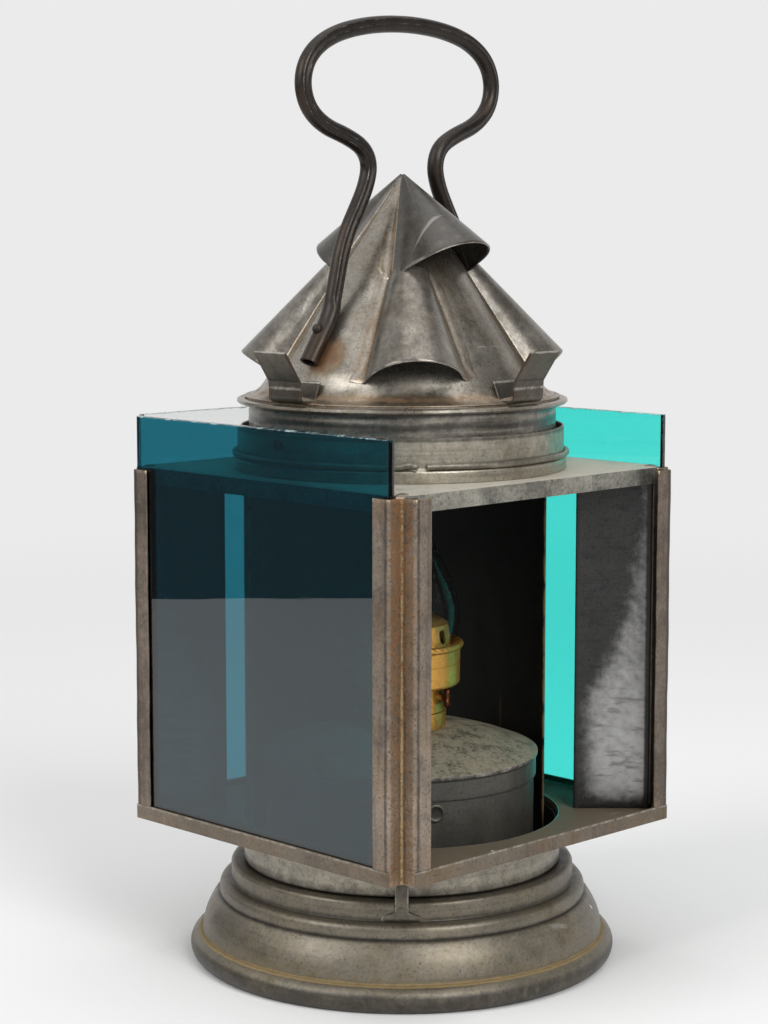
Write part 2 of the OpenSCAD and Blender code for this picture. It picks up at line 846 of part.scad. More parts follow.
module top_collar() {
    color(tin) difference() {
        rotate_extrude() polygon([
            [collar_r - sheet, top_z],
            [collar_r + band_t, top_z],
            [collar_r + band_t, top_z + band_h],
            [collar_r, top_z + band_h],
            [collar_r, top_z + collar_h],
            [collar_r - sheet, top_z + collar_h]
        ]);
        roof_rivet_pins(rivet_r, skirt_in, collar_r + past);
    }
}

module collar_wire() {
    color(tin) rotate_extrude()
    translate([collar_r + collar_wire_r, top_z + band_h + collar_wire_r]) circle(collar_wire_r);
}

// Skirt that stands inside the collar, and the brim with its rolled edge
module roof_skirt() {
    color(tin) difference() {
        rotate_extrude() {
            translate([skirt_in, top_z]) square([sheet, brim_h]);
            translate([skirt_in, brim_z - sheet]) square([brim_r - brim_roll - skirt_in, sheet]);
            translate([brim_r - brim_roll, brim_z - brim_roll]) circle(brim_roll);
        }
        roof_rivet_pins(rivet_r, skirt_in - past, skirt_r + past);
    }
}

module roof_rivets() {
    color(iron) {
        roof_rivet_pins(rivet_r, skirt_in - rivet_head_h / 2, collar_r + rivet_head_h / 2);
        roof_rivet_pins(rivet_head_r, skirt_in - rivet_seat - rivet_head_h, skirt_in - rivet_seat);
        roof_rivet_pins(rivet_head_r, collar_r, collar_r + rivet_head_h);
    }
}

// Outer surface of the cone as a solid, down past the brim
module roof_solid() {
    rotate_extrude() polygon([
        [0, tip_z],
        [knee_r, knee_z],
        [cone_foot_r, flange_z],
        [cone_foot_r, top_z],
        [0, top_z]
    ]);
}

// Point on the cone at a distance down its slope, facing out of the sheet
module on_slope(angle, slant) {
    rotate([0, 0, angle])
    translate([slant * sin(roof_half), 0, tip_z - slant * cos(roof_half)])
    rotate([0, 90 - roof_half, 0]) children();
}

// Cone with its foot flange, the vents under the hoods and the handle's rivet holes
module roof_cone() {
    wall_top = sheet / sin(roof_half);
    wall_side = sheet / cos(roof_half);
    wall_foot = sheet / cos(foot_half);
    flange_r = skirt_r + sheet;
    drill = 6 * past;
    color(tin) rotate([0, 0, roof_twist]) difference() {
        rotate_extrude() polygon([
            [0, tip_z],
            [knee_r, knee_z],
            [cone_foot_r, flange_z],
            [flange_r, flange_z],
            [flange_r, brim_z],
            [cone_foot_r - wall_foot, brim_z],
            [knee_r - wall_side, knee_z],
            [0, tip_z - wall_top]
        ]);
        for (angle = [0, 180])
            on_slope(angle, upper_len * upper_vent_share)
            cylinder(d = upper_vent_d, h = drill, center = true);
        for (corner = CORNERS)
            on_slope(hood_angle(corner), upper_len + lower_vent_drop)
            cylinder(d = lower_vent_d, h = drill, center = true);
        handle_rivet_pins(rivet_r, -2 * sheet, past);
    }
}

// Sheet cone that opens downwards from its tip, ended at a distance from the tip
module hood_shell(half, length) {
    depth = length + 4 * past;
    wall = sheet / sin(half);
    intersection() {
        difference() {
            translate([0, 0, -depth]) cylinder(r1 = depth * tan(half), r2 = 0, h = depth);
            translate([0, 0, -depth - wall]) cylinder(r1 = depth * tan(half), r2 = 0, h = depth);
        }
        sphere(length);
    }
}

// Upper hood: shares the roof's tip and meets its twin over the ridge
module upper_hood(angle) {
    seam = 0.1;
    color(tin) rotate([0, 0, roof_twist + angle]) difference() {
        intersection() {
            translate([0, 0, tip_z + upper_tip])
            rotate([0, upper_sink - roof_half, 0]) hood_shell(upper_half, upper_len);
            translate([seam / 2, -upper_len, brim_z]) cube([2 * upper_len, 2 * upper_len, 2 * cone_h]);
        }
        roof_solid();
    }
}

// Direction of a lower hood on the roof
function hood_angle(corner) = corner_angle(corner) + (corner == "front" ? front_hood_turn : 0);

// Lower hood: starts under the upper hoods' rims
module lower_hood(corner) {
    color(tin) rotate([0, 0, roof_twist + hood_angle(corner)]) difference() {
        translate([lower_tip * sin(roof_half), 0, tip_z - lower_tip * cos(roof_half)])
        rotate([0, lower_sink - roof_half, 0]) hood_shell(lower_half, lower_len);
        roof_solid();
        translate([0, 0, tip_z + upper_tip]) sphere(upper_len + run_gap);
    }
}

module upper_hood_right() { upper_hood(0); }
module upper_hood_left() { upper_hood(180); }
module lower_hood_front() { lower_hood("front"); }
module lower_hood_right() { lower_hood("right"); }
module lower_hood_back() { lower_hood("back"); }
module lower_hood_left() { lower_hood("left"); }

// Clip on the brim that steadies a raised pane: a fold on the cone's foot and a flared lip
module clip(side) {
    mid = sheet / 2;
    low_r = cone_foot_r + mid / cos(foot_half) + clip_seat;
    leg_x = low_r - clip_leg * sin(foot_half);
    leg_z = flange_z + mid + clip_leg * cos(foot_half);
    fold_r = low_r + clip_fold + sheet;
    lip_r = pane_in - clip_gap - sheet;
    path = [
        [leg_x, leg_z],
        [low_r, flange_z + mid],
        [fold_r, flange_z + mid],
        [fold_r + clip_lean, flange_z + mid + clip_rise],
        [lip_r, flange_z + mid + clip_rise + clip_flare_h]
    ];
    color(tin) rotate([0, 0, roof_twist + side_angle(side)]) radial_strip(path, sheet, clip_w);
}

module clip_window() { clip("window"); }
module clip_green() { clip("green"); }
module clip_clear() { clip("clear"); }
module clip_blue() { clip("blue"); }

// Handle

// Distance of the tube's centre from the axis where it lies on the cone, at a depth below the tip
function lying_r(depth) = depth * tan(roof_half) + handle_d / 2 / cos(roof_half);

// Corner of the handle's frame above the tip, turned with the loop's lean
function leaned(y, up) =
    [y * cos(loop_lean) - up * sin(loop_lean), tip_z + y * sin(loop_lean) + up * cos(loop_lean)];

// Corners of one half of the handle's frame, from the top to the foot
function handle_half(side) = [
    leaned(side * crown_half, handle_rise),
    leaned(side * loop_half, loop_up),
    leaned(side * loop_low_half, loop_low),
    leaned(side * throat_half, throat_up),
    leaned(side * waist_half, waist_up),
    [side * leg_half, tip_z - leg_down],
    [side * ankle_half, tip_z - ankle_down],
    for (depth = [foot_top, (foot_top + foot_end) / 2, foot_end]) [side * lying_r(depth), tip_z - depth]
];
function reversed(list) = [for (i = [len(list) - 1 : -1 : 0]) list[i]];
handle_frame = concat(reversed(handle_half(-1)), handle_half(1));

function unit(v) = v / norm(v);
function heading(v) = atan2(v[1], v[0]);

// Ends of the arc at corner i: the middles of the two edges that meet there, or the frame's own ends
function arc_start(p, i) = i == 1 ? p[0] : (p[i - 1] + p[i]) / 2;
function arc_end(p, i) = i == len(p) - 2 ? p[i + 1] : (p[i] + p[i + 1]) / 2;

// Place and heading on the arc at corner i, at a share s of its way
function on_arc(p, i, s) =
    let (
        first = arc_start(p, i) * (1 - s) + p[i] * s,
        second = p[i] * (1 - s) + arc_end(p, i) * s
    )
    [first * (1 - s) + second * s, heading(second - first)];

// Places and headings of a tube's rings: steps along each arc, and the far end
function tube_rings(p) =
    let (last = len(p) - 2)
    concat(
        [for (i = [1 : last]) for (k = [0 : arc_steps - 1]) on_arc(p, i, k / arc_steps)],
        [on_arc(p, last, 1)]
    );

// Point j of a ring of radius r, in the plane x = 0 bent out to both sides
function ring_point(ring, r, j) =
    let (a = 360 * j / tube_sides, out = r * cos(a), head = ring[1])
    [r * sin(a), ring[0][0] - out * sin(head), ring[0][1] + out * cos(head)];

// Open tube along a frame's curve: an outer and an inner skin, joined by a flat ring at each end
module bent_tube(p, r, wall) {
    rings = tube_rings(p);
    n = tube_sides;
    total = len(rings) * n;
    last = len(rings) - 1;
    skin = [for (w = [0, 1]) for (ring = rings) for (j = [0 : n - 1]) ring_point(ring, r - w * wall, j)];
    sides = [for (i = [0 : last - 1]) for (j = [0 : n - 1])
        let (a = i * n + j, b = i * n + (j + 1) % n)
        each [[a, b, b + n], [a, b + n, a + n], [total + a, total + b + n, total + b],
              [total + a, total + a + n, total + b + n]]];
    ends = [for (j = [0 : n - 1])
        let (k = (j + 1) % n, e = last * n)
        each [[j, total + j, total + k], [j, total + k, k],
              [e + j, e + total + k, e + total + j], [e + j, e + k, e + total + k]]];
    polyhedron(points = skin, faces = concat(sides, ends));
}

// Pins square to the cone at the handle's two feet, from one height above the cone to another
module handle_rivet_pins(r, from, to) {
    slant = (foot_top + foot_end) / 2 / cos(roof_half);
    for (angle = [90, 270]) on_slope(angle, slant) translate([0, 0, from]) cylinder(r = r, h = to - from);
}

module handle() {
    color(iron) rotate([0, 0, roof_twist]) difference() {
        bent_tube(handle_frame, handle_d / 2, handle_wall);
        handle_rivet_pins(rivet_r, -past, handle_d + past);
    }
}

module handle_rivets() {
    low = -sheet - rivet_seat;
    color(iron) rotate([0, 0, roof_twist]) {
        handle_rivet_pins(rivet_r, low - rivet_head_h / 2, handle_d + rivet_head_h / 2);
        handle_rivet_pins(rivet_head_r, handle_d, handle_d + rivet_head_h);
        handle_rivet_pins(rivet_head_r, low - rivet_head_h, low);
    }
}

base_shell();
foot_wire();
base_spigot();
base_floor();
index_spring();
light_shield();
font_can();
font_lid();
font_neck();
font_plug();
burner_stem();
burner_cup();
gallery_ring();
burner_crown();
wick_tube();
wick();
winder_shaft();
winder_knob();
chimney();
tray();
lower_collar();
post_front();
post_right();
post_back();
post_left();
baffle_front();
baffle_right();
baffle_back();
baffle_left();
top_plate();
top_collar();
collar_wire();
roof_skirt();
roof_cone();
upper_hood_right();
upper_hood_left();
lower_hood_front();
lower_hood_right();
lower_hood_back();
lower_hood_left();
clip_window();
clip_green();
clip_clear();
clip_blue();
handle();
handle_rivets();
roof_rivets();
pane_blue();
pane_green();
pane_clear();
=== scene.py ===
"""Looks of a railway signal lamp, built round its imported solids.

The tin lantern, its coloured panes, the oil burner and the carrying handle each have a class
that makes the detailed pieces and dresses the solids that stay. Lengths in the classes are in
millimetres, and the meshes are in metres.
"""

from __future__ import annotations

import logging
import math
from dataclasses import dataclass, field
from enum import Enum
from functools import cached_property
from typing import Any, Sequence

import bmesh
import bpy
import numpy as np
from mathutils import Matrix, Vector


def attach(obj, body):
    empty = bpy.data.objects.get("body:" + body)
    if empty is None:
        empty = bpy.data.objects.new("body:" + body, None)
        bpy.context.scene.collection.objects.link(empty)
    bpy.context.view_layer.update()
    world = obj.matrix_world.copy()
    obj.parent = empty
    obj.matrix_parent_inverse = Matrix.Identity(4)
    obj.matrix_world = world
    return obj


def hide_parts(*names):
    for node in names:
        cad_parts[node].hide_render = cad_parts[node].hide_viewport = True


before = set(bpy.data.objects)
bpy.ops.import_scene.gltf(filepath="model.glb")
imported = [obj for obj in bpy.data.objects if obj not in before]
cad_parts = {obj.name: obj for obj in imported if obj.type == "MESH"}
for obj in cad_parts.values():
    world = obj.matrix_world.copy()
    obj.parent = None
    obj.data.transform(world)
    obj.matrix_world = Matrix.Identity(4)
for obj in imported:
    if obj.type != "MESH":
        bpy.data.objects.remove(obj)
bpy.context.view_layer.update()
LOG = logging.getLogger("signal_lamp")
MM = 0.001
MARKS = ("rust", "bare", "soil")
SHEET = 0.8
ROOF_TIP = 292.7
ROOF_HALF = math.atan2(48.3, 70.9)
ROOF_TURN = 2.2
WICK_TURN = 35.0
WHITE = (1.0, 1.0, 1.0)

Colour = tuple[float, float, float]
Band = tuple[float, float, float, float]
Spot = tuple[Colour, float, float]
Pairs = tuple[tuple[float, float], ...]


class Slot(Enum):
    """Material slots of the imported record."""

    TIN = "tinned_sheet"
    SOOT = "sooted_sheet"
    IRON = "iron"
    BRASS = "brass"
    COPPER = "copper_knob"
    COTTON = "wick_cotton"
    CHIMNEY = "chimney_glass"
    BLUE = "blue_glass"
    GREEN = "green_glass"
    CLEAR = "clear_glass"


class Side(Enum):
    """Direction of each side of the box, in degrees from the open window's side."""

    WINDOW = 0.0
    GREEN = 90.0
    CLEAR = 180.0
    BLUE = 270.0


class Corner(Enum):
    """Direction of each corner of the box, in degrees from the open window's side."""

    FRONT = -45.0
    RIGHT = 45.0
    BACK = 135.0
    LEFT = 225.0


def linear(red: int, green: int, blue: int) -> Colour:
    """Linear colour, as the shader reads it, of a screen colour from 0 to 255."""
    value = np.array([red, green, blue]) / 255.0
    flat = np.where(value <= 0.04045, value / 12.92, ((value + 0.055) / 1.055) ** 2.4)
    return tuple(float(channel) for channel in flat)


def shaded(colour: Colour, factor: float) -> Colour:
    """A colour made lighter or darker by a factor."""
    return tuple(factor * channel for channel in colour)


class Level:
    """Output of a node that takes part in sums, differences and products."""

    def __init__(self, graph: Graph, socket: bpy.types.NodeSocket) -> None:
        """Keeps the output and the tree that it is in."""
        self.graph = graph
        self.socket = socket

    def __add__(self, other: Any) -> Level:
        """Node of the sum."""
        return self.graph.maths("ADD", self, other)

    def __sub__(self, other: Any) -> Level:
        """Node of the difference."""
        return self.graph.maths("SUBTRACT", self, other)

    def __rsub__(self, other: Any) -> Level:
        """Node of the difference from a plain number."""
        return self.graph.maths("SUBTRACT", other, self)

    def __mul__(self, other: Any) -> Level:
        """Node of the product."""
        return self.graph.maths("MULTIPLY", self, other)


class Graph:
    """Short calls that build the node tree of a material or of the world."""

    def __init__(self, owner: Any, end: str = "OutputMaterial") -> None:
        """Starts an empty tree with its last node."""
        self.owner = owner
        owner.use_nodes = True
        self.tree = owner.node_tree
        self.tree.nodes.clear()
        self.out = self.node(end)

    @classmethod
    def material(cls, name: str) -> Graph:
        """Starts the tree of a new material."""
        return cls(bpy.data.materials.new(name))

    @cached_property
    def place(self) -> Level:
        """Object coordinates."""
        return self.level("TexCoord", out="Object")

    def put(self, socket: bpy.types.NodeSocket, value: Any) -> None:
        """Links a socket, or sets it where the value is plain.

        Args:
            socket: The input.
            value: An output, a number, a vector or a colour.
        """
        value = value.socket if isinstance(value, Level) else value
        if isinstance(value, bpy.types.NodeSocket):
            self.tree.links.new(value, socket)
        elif socket.type == "RGBA":
            socket.default_value = (*value, 1.0)
        else:
            socket.default_value = value

    def node(self, kind: str, inputs: dict | None = None, **settings: Any) -> bpy.types.Node:
        """Adds a shader node.

        Args:
            kind: The node's type, without its usual prefix.
            inputs: Values or outputs by input name or number.
            settings: The node's own properties.

        Returns:
            The new node.
        """
        made = self.tree.nodes.new("ShaderNode" + kind)
        for key, value in settings.items():
            setattr(made, key, value)
        for key, value in (inputs or {}).items():
            self.put(made.inputs[key], value)
        return made

    def level(self, kind: str, inputs: dict | None = None, out: Any = 0, **settings: Any) -> Level:
        """One output, by name or number, of a new node."""
        return Level(self, self.node(kind, inputs, **settings).outputs[out])

    def maths(self, kind: str, first: Any, second: Any) -> Level:
        """One arithmetic step."""
        return self.level("Math", {0: first, 1: second}, operation=kind)

    def spot(self, stretch: Colour = WHITE, turn: float = 0.0) -> Level:
        """Object coordinates stretched by three factors after a turn about the vertical axis."""
        inputs = {"Vector": self.place, "Scale": stretch, "Rotation": (0.0, 0.0, turn)}
        return self.level("Mapping", inputs, "Vector")

    def noise(
        self, scale: float, detail: float = 5.0, rough: float = 0.6, stretch: Colour | None = None
    ) -> Level:
        """Fractal noise from 0 to 1.

        Args:
            scale: Grains in a metre, about.
            detail: Octaves.
            rough: Share of the finer octaves.
            stretch: Factors of the three axes.

        Returns:
            The noise.
        """
        where = self.spot(stretch) if stretch else self.place
        inputs = {"Vector": where, "Scale": scale, "Detail": detail, "Roughness": rough}
        return self.level("TexNoise", inputs, "Fac")

    def ease(self, value: Any, low: float, high: float) -> Level:
        """Smooth step from 0 at low to 1 at high."""
        inputs = {"Value": value, "From Min": low, "From Max": high}
        return self.level("MapRange", inputs, "Result", interpolation_type="SMOOTHSTEP")

    def ramp(self, value: Level, stops: Sequence[tuple[float, Colour]]) -> Level:
        """Colour ramp.

        Args:
            value: Where on the ramp.
            stops: Places and colours, in order.

        Returns:
            The colour.
        """
        made = self.node("ValToRGB", {"Fac": value})
        bar = made.color_ramp.elements
        while len(bar) < len(stops):
            bar.new(0.5)
        for element, (place, colour) in zip(bar, stops):
            element.position = place
            element.color = (*colour, 1.0)
        return Level(self, made.outputs["Color"])

    def mix(self, share: Any, first: Any, second: Any) -> Level:
        """Mix of two colours."""
        return self.level("Mix", {0: share, 6: first, 7: second}, 2, data_type="RGBA")

    def layers(self, colour: Any, *coats: tuple[Any, Any]) -> Level:
        """Colour with others laid over it in turn, each by its own share."""
        for share, over in coats:
            colour = self.mix(share, colour, over)
        return colour

    def height(self) -> Level:
        """Height above the floor, in metres."""
        return self.level("SeparateXYZ", {"Vector": self.place}, "Z")

    def band(self, low: float, high: float, soft: float) -> Level:
        """Mask that is 1 between two heights in millimetres and fades over soft millimetres."""
        level = self.height()
        rise = self.ease(level, (low - soft) * MM, low * MM)
        return rise * self.ease(level, (high + soft) * MM, high * MM)

    def near(self, centre: Colour, reach: float) -> Level:
        """Mask that is 1 at a point in millimetres and fades out at its reach."""
        spot = tuple(MM * value for value in centre)
        gap = self.level("VectorMath", {0: self.place, 1: spot}, "Value", operation="DISTANCE")
        return self.ease(gap, reach * MM, 0.2 * reach * MM)

    def mark(self, name: str) -> Level:
        """A piece's own attribute, which is 0 on a piece without it."""
        return self.level("Attribute", out="Fac", attribute_name=name)

    def mask(
        self,
        mark: str,
        speckle: Level,
        bands: Sequence[Band],
        share: float = 0.0,
        spots: Sequence[Spot] = (),
    ) -> Level:
        """Where a mark shows, broken up by noise.

        Args:
            mark: The piece's attribute.
            speckle: The noise.
            bands: Heights at which there is more of it.
            share: How much there is everywhere.
            spots: Places at which there is more of it.

        Returns:
            A level that is past 0 where the mark shows.
        """
        level = self.mark(mark) + share
        for low, high, soft, amount in bands:
            level = level + self.band(low, high, soft) * amount
        for centre, reach, amount in spots:
            level = level + self.near(centre, reach) * amount
        return level - speckle

    def bump(self, level: Level, strength: float, depth: float, under: Any = None) -> Level:
        """Normal of a height field of the given depth in metres, over another normal or none."""
        inputs = {"Height": level, "Strength": strength, "Distance": depth}
        return self.level("Bump", inputs | ({} if under is None else {"Normal": under}), "Normal")

    def end(self, shader: bpy.types.Node) -> Any:
        """Ends the tree in a shader, and gives back its material or world."""
        self.put(self.out.inputs["Surface"], shader.outputs[0])
        return self.owner

    def finish(self, inputs: dict[str, Any]) -> bpy.types.Material:
        """Ends the tree in one Principled shader with the given inputs."""
        return self.end(self.node("BsdfPrincipled", inputs))


@dataclass(frozen=True)
class SheetFinish:
    """Worn sheet metal: clouds, pits, stains, rust, dirt and painted shade, rubbed places and
    painted highlights, scratches and nicks.

    A band is a low and a high height, a fade and an amount, and a spot is a point, its reach and
    an amount. Both add to a mark, and all their lengths are in millimetres.
    """

    name: str
    tone: Colour
    spread: float = 0.26
    stain: Colour = linear(122, 98, 66)
    rust: Colour = linear(104, 58, 28)
    bare: Colour = linear(186, 182, 172)
    soil: Colour = linear(30, 27, 23)
    chipped: Colour = linear(222, 219, 212)
    stain_share: float = 0.4
    rust_share: float = 0.0
    streak: float = 0.35
    streak_way: Colour = (1.0, 1.0, 0.08)
    streak_scale: float = 120.0
    patina: float = 0.42
    pits: float = 0.55
    nick: float = 0.85
    rub_and_light_soft: float = 0.17
    flake: float | None = None
    metal: float = 0.85
    smooth: float = 0.3
    dull: float = 0.5
    dent: float = 0.0007
    dust: Colour | None = None
    dust_break: tuple[float, float] = (0.2, 0.52)
    rusted: tuple[Band, ...] = ()
    soiled_and_shaded: tuple[Band, ...] = ()
    rubbed_and_lit: tuple[Band, ...] = ()
    spots: tuple[Spot, ...] = ()

    def material(self) -> bpy.types.Material:
        """Builds the finish: masks first, then the colours laid over each other, gloss and relief.

        Returns:
            The material.
        """
        graph = Graph.material(self.name)
        mottle, grain = graph.noise(140.0, 5.0, 0.62), graph.noise(800.0, 3.0, 0.6)
        cloud = graph.noise(26.0, 4.0, 0.55) * 0.4 + mottle * 0.36 + grain * 0.24
        tones = [shaded(self.tone, 1.0 + way * self.spread) for way in (-1.0, 0.0, 1.0)]
        warm = graph.ease(graph.noise(48.0, 6.0, 0.68), 0.46, 0.72) * self.stain_share
        pit = graph.ease(graph.noise(1000.0, 3.0, 0.6), 0.55, 0.68) * self.pits
        crust = graph.ease(graph.noise(70.0, 8.0, 0.76), 0.49, 0.68) * self.patina
        run = graph.noise(self.streak_scale, 5.0, 0.65, self.streak_way)
        drip = graph.ease(run, 0.5, 0.7) * self.streak
        speckle = graph.noise(230.0, 7.0, 0.72)
        # The soil mask darkens for dirt and also for painted shade; the bare mask lightens for wear
        # and also for painted highlights and painted light.
        dirt_and_shade = graph.ease(graph.mask("soil", speckle, self.soiled_and_shaded), -0.42, 0.45)
        rub_and_light = graph.mask("bare", speckle, self.rubbed_and_lit)
        rub_and_light = graph.ease(rub_and_light, -0.7 * self.rub_and_light_soft, 1.3 * self.rub_and_light_soft)
        flakes = speckle
        if self.flake is not None:
            flakes = graph.ease(graph.noise(self.flake, 6.0, 0.75), 0.3, 0.7)
        rust = graph.mask("rust", flakes, self.rusted, self.rust_share, self.spots)
        halo, core = graph.ease(rust, -0.28, 0.1), graph.ease(rust, 0.0, 0.3)
        colour = graph.layers(
            graph.ramp(cloud, tuple(zip((0.4, 0.5, 0.6), tones))),
            (warm, self.stain),
            (pit, shaded(self.tone, 0.3)),
            (crust, shaded(self.stain, 0.32)),
            (drip, shaded(self.tone, 0.38)),
            (dirt_and_shade * 0.88, self.soil),
            (rub_and_light * 0.9, self.bare),
            (drip * rub_and_light * 0.8, shaded(self.tone, 0.6)),
            (halo * 0.62, self.stain),
            (core * 0.85, graph.mix(graph.noise(420.0), shaded(self.rust, 0.45), self.rust)),
        )
        span = self.dull - self.smooth
        gloss = mottle * (2.0 * span) + self.smooth - 0.5 * span + core * 0.25
        shine = (1.0 - core * 0.8) * self.metal * (1.0 - dirt_and_shade * 0.7)
        if self.dust is not None:
            facing = graph.level("NewGeometry", out="Normal")
            flat = graph.ease(graph.level("SeparateXYZ", {"Vector": facing}, "Z"), 0.3, 0.95)
            veil = flat * graph.ease(mottle * 0.5 + grain * 0.5, *self.dust_break) * 0.85
            colour = graph.mix(veil, colour, self.dust)
            shine = shine * (1.0 - veil)
            gloss = gloss + veil * 0.3
        where = graph.spot((1.0, 0.55, 0.4), 0.7)
        cell = graph.node("TexVoronoi", {"Vector": where, "Scale": 120.0}).outputs
        chance = graph.level("SeparateColor", {"Color": cell["Color"]})
        chip = graph.ease(cell["Distance"], 0.075, 0.045) * graph.ease(chance, 0.925, 0.93)
        line = graph.ease(graph.noise(260.0, 3.0, 0.5, (1.0, 0.12, 0.05)), 0.69, 0.76)
        colour = graph.layers(colour, (chip * self.nick, self.chipped), (line * 0.3, self.bare))
        relief = graph.bump(graph.noise(30.0, 2.0, 0.45), 0.4, self.dent)
        relief = graph.bump(mottle * 0.5 + grain * 0.35 + core * 0.8, 0.25, 0.0002, relief)
        return graph.finish(
            {"Base Color": colour, "Metallic": shine, "Roughness": gloss, "Normal": relief}
        )


@dataclass(frozen=True)
class GlassFinish:
    """Old pane glass: a tint, faint ripples, a film of dust and smears, and a ground white edge."""

    name: str
    tint: Colour
    film: float = 0.05
    ripple: float = 0.00012
    bend: float = 1.7
    edge: Colour = (0.5, 0.56, 0.56)

    def material(self) -> bpy.types.Material:
        """Builds the finish.

        Returns:
            The material.
        """
        graph = Graph.material(self.name)
        smear = graph.noise(34.0, 6.0, 0.65, (1.0, 1.0, 0.4))
        ground = graph.ease(graph.mark("bare") - graph.noise(260.0, 5.0, 0.7), -0.05, 0.2)
        fleck = graph.ease(graph.noise(1000.0, 2.0, 0.5), 0.71, 0.76) * 0.35
        cloudy = graph.maths("MAXIMUM", ground, fleck)
        return graph.finish(
            {
                "Base Color": graph.mix(cloudy, self.tint, self.edge),
                "Roughness": graph.ease(smear, 0.45, 0.8) * self.film + cloudy * 0.5,
                "IOR": self.bend,
                "Transmission Weight": 1.0 - cloudy,
                "Normal": graph.bump(graph.noise(14.0, 2.0, 0.4), 0.5, self.ripple),
            }
        )


@dataclass(frozen=True)
class CottonFinish:
    """Woven cotton wick, charred between two heights at its burning end."""

    name: str
    light: Colour
    shade: Colour
    char: Colour
    char_low: float
    char_high: float

    def material(self) -> bpy.types.Material:
        """Builds the finish: two crossing waves for the weave, dark above the char's height.

        Returns:
            The material.
        """
        graph = Graph.material(self.name)
        where = graph.spot(turn=-math.radians(WICK_TURN))
        threads = [
            graph.level(
                "TexWave",
                {"Vector": where, "Scale": scale, "Distortion": bent},
                "Fac",
                bands_direction=way,
            )
            for way, scale, bent in (("X", 300.0, 0.6), ("Z", 260.0, 0.8))
        ]
        weave = threads[0] * threads[1]
        burnt = graph.ease(graph.height(), self.char_low * MM, self.char_high * MM)
        colour = graph.layers(
            graph.mix(weave, self.shade, self.light),
            (graph.noise(240.0) * 0.4, self.shade),
            (burnt, self.char),
        )
        relief = graph.bump(weave, 0.6, 0.0003)
        return graph.finish({"Base Color": colour, "Roughness": 0.95, "Normal": relief})


@dataclass(frozen=True)
class Coat:
    """A finish ready for use: its material and the record's slot that it belongs to."""

    material: bpy.types.Material
    slot: Slot


def coat(slot: Slot, finish: SheetFinish | GlassFinish | CottonFinish) -> Any:
    """Field of the set of finishes, whose material is built with the set."""
    return field(default_factory=lambda: Coat(finish.material(), slot))


SPIN_LINES = {"streak_way": (0.03, 0.03, 1.0), "streak_scale": 520.0}
HANDLE_FEET = tuple(((-5.2 * way, way * 45.0, 229.0), 15.0, 0.78) for way in (-1.0, 1.0))


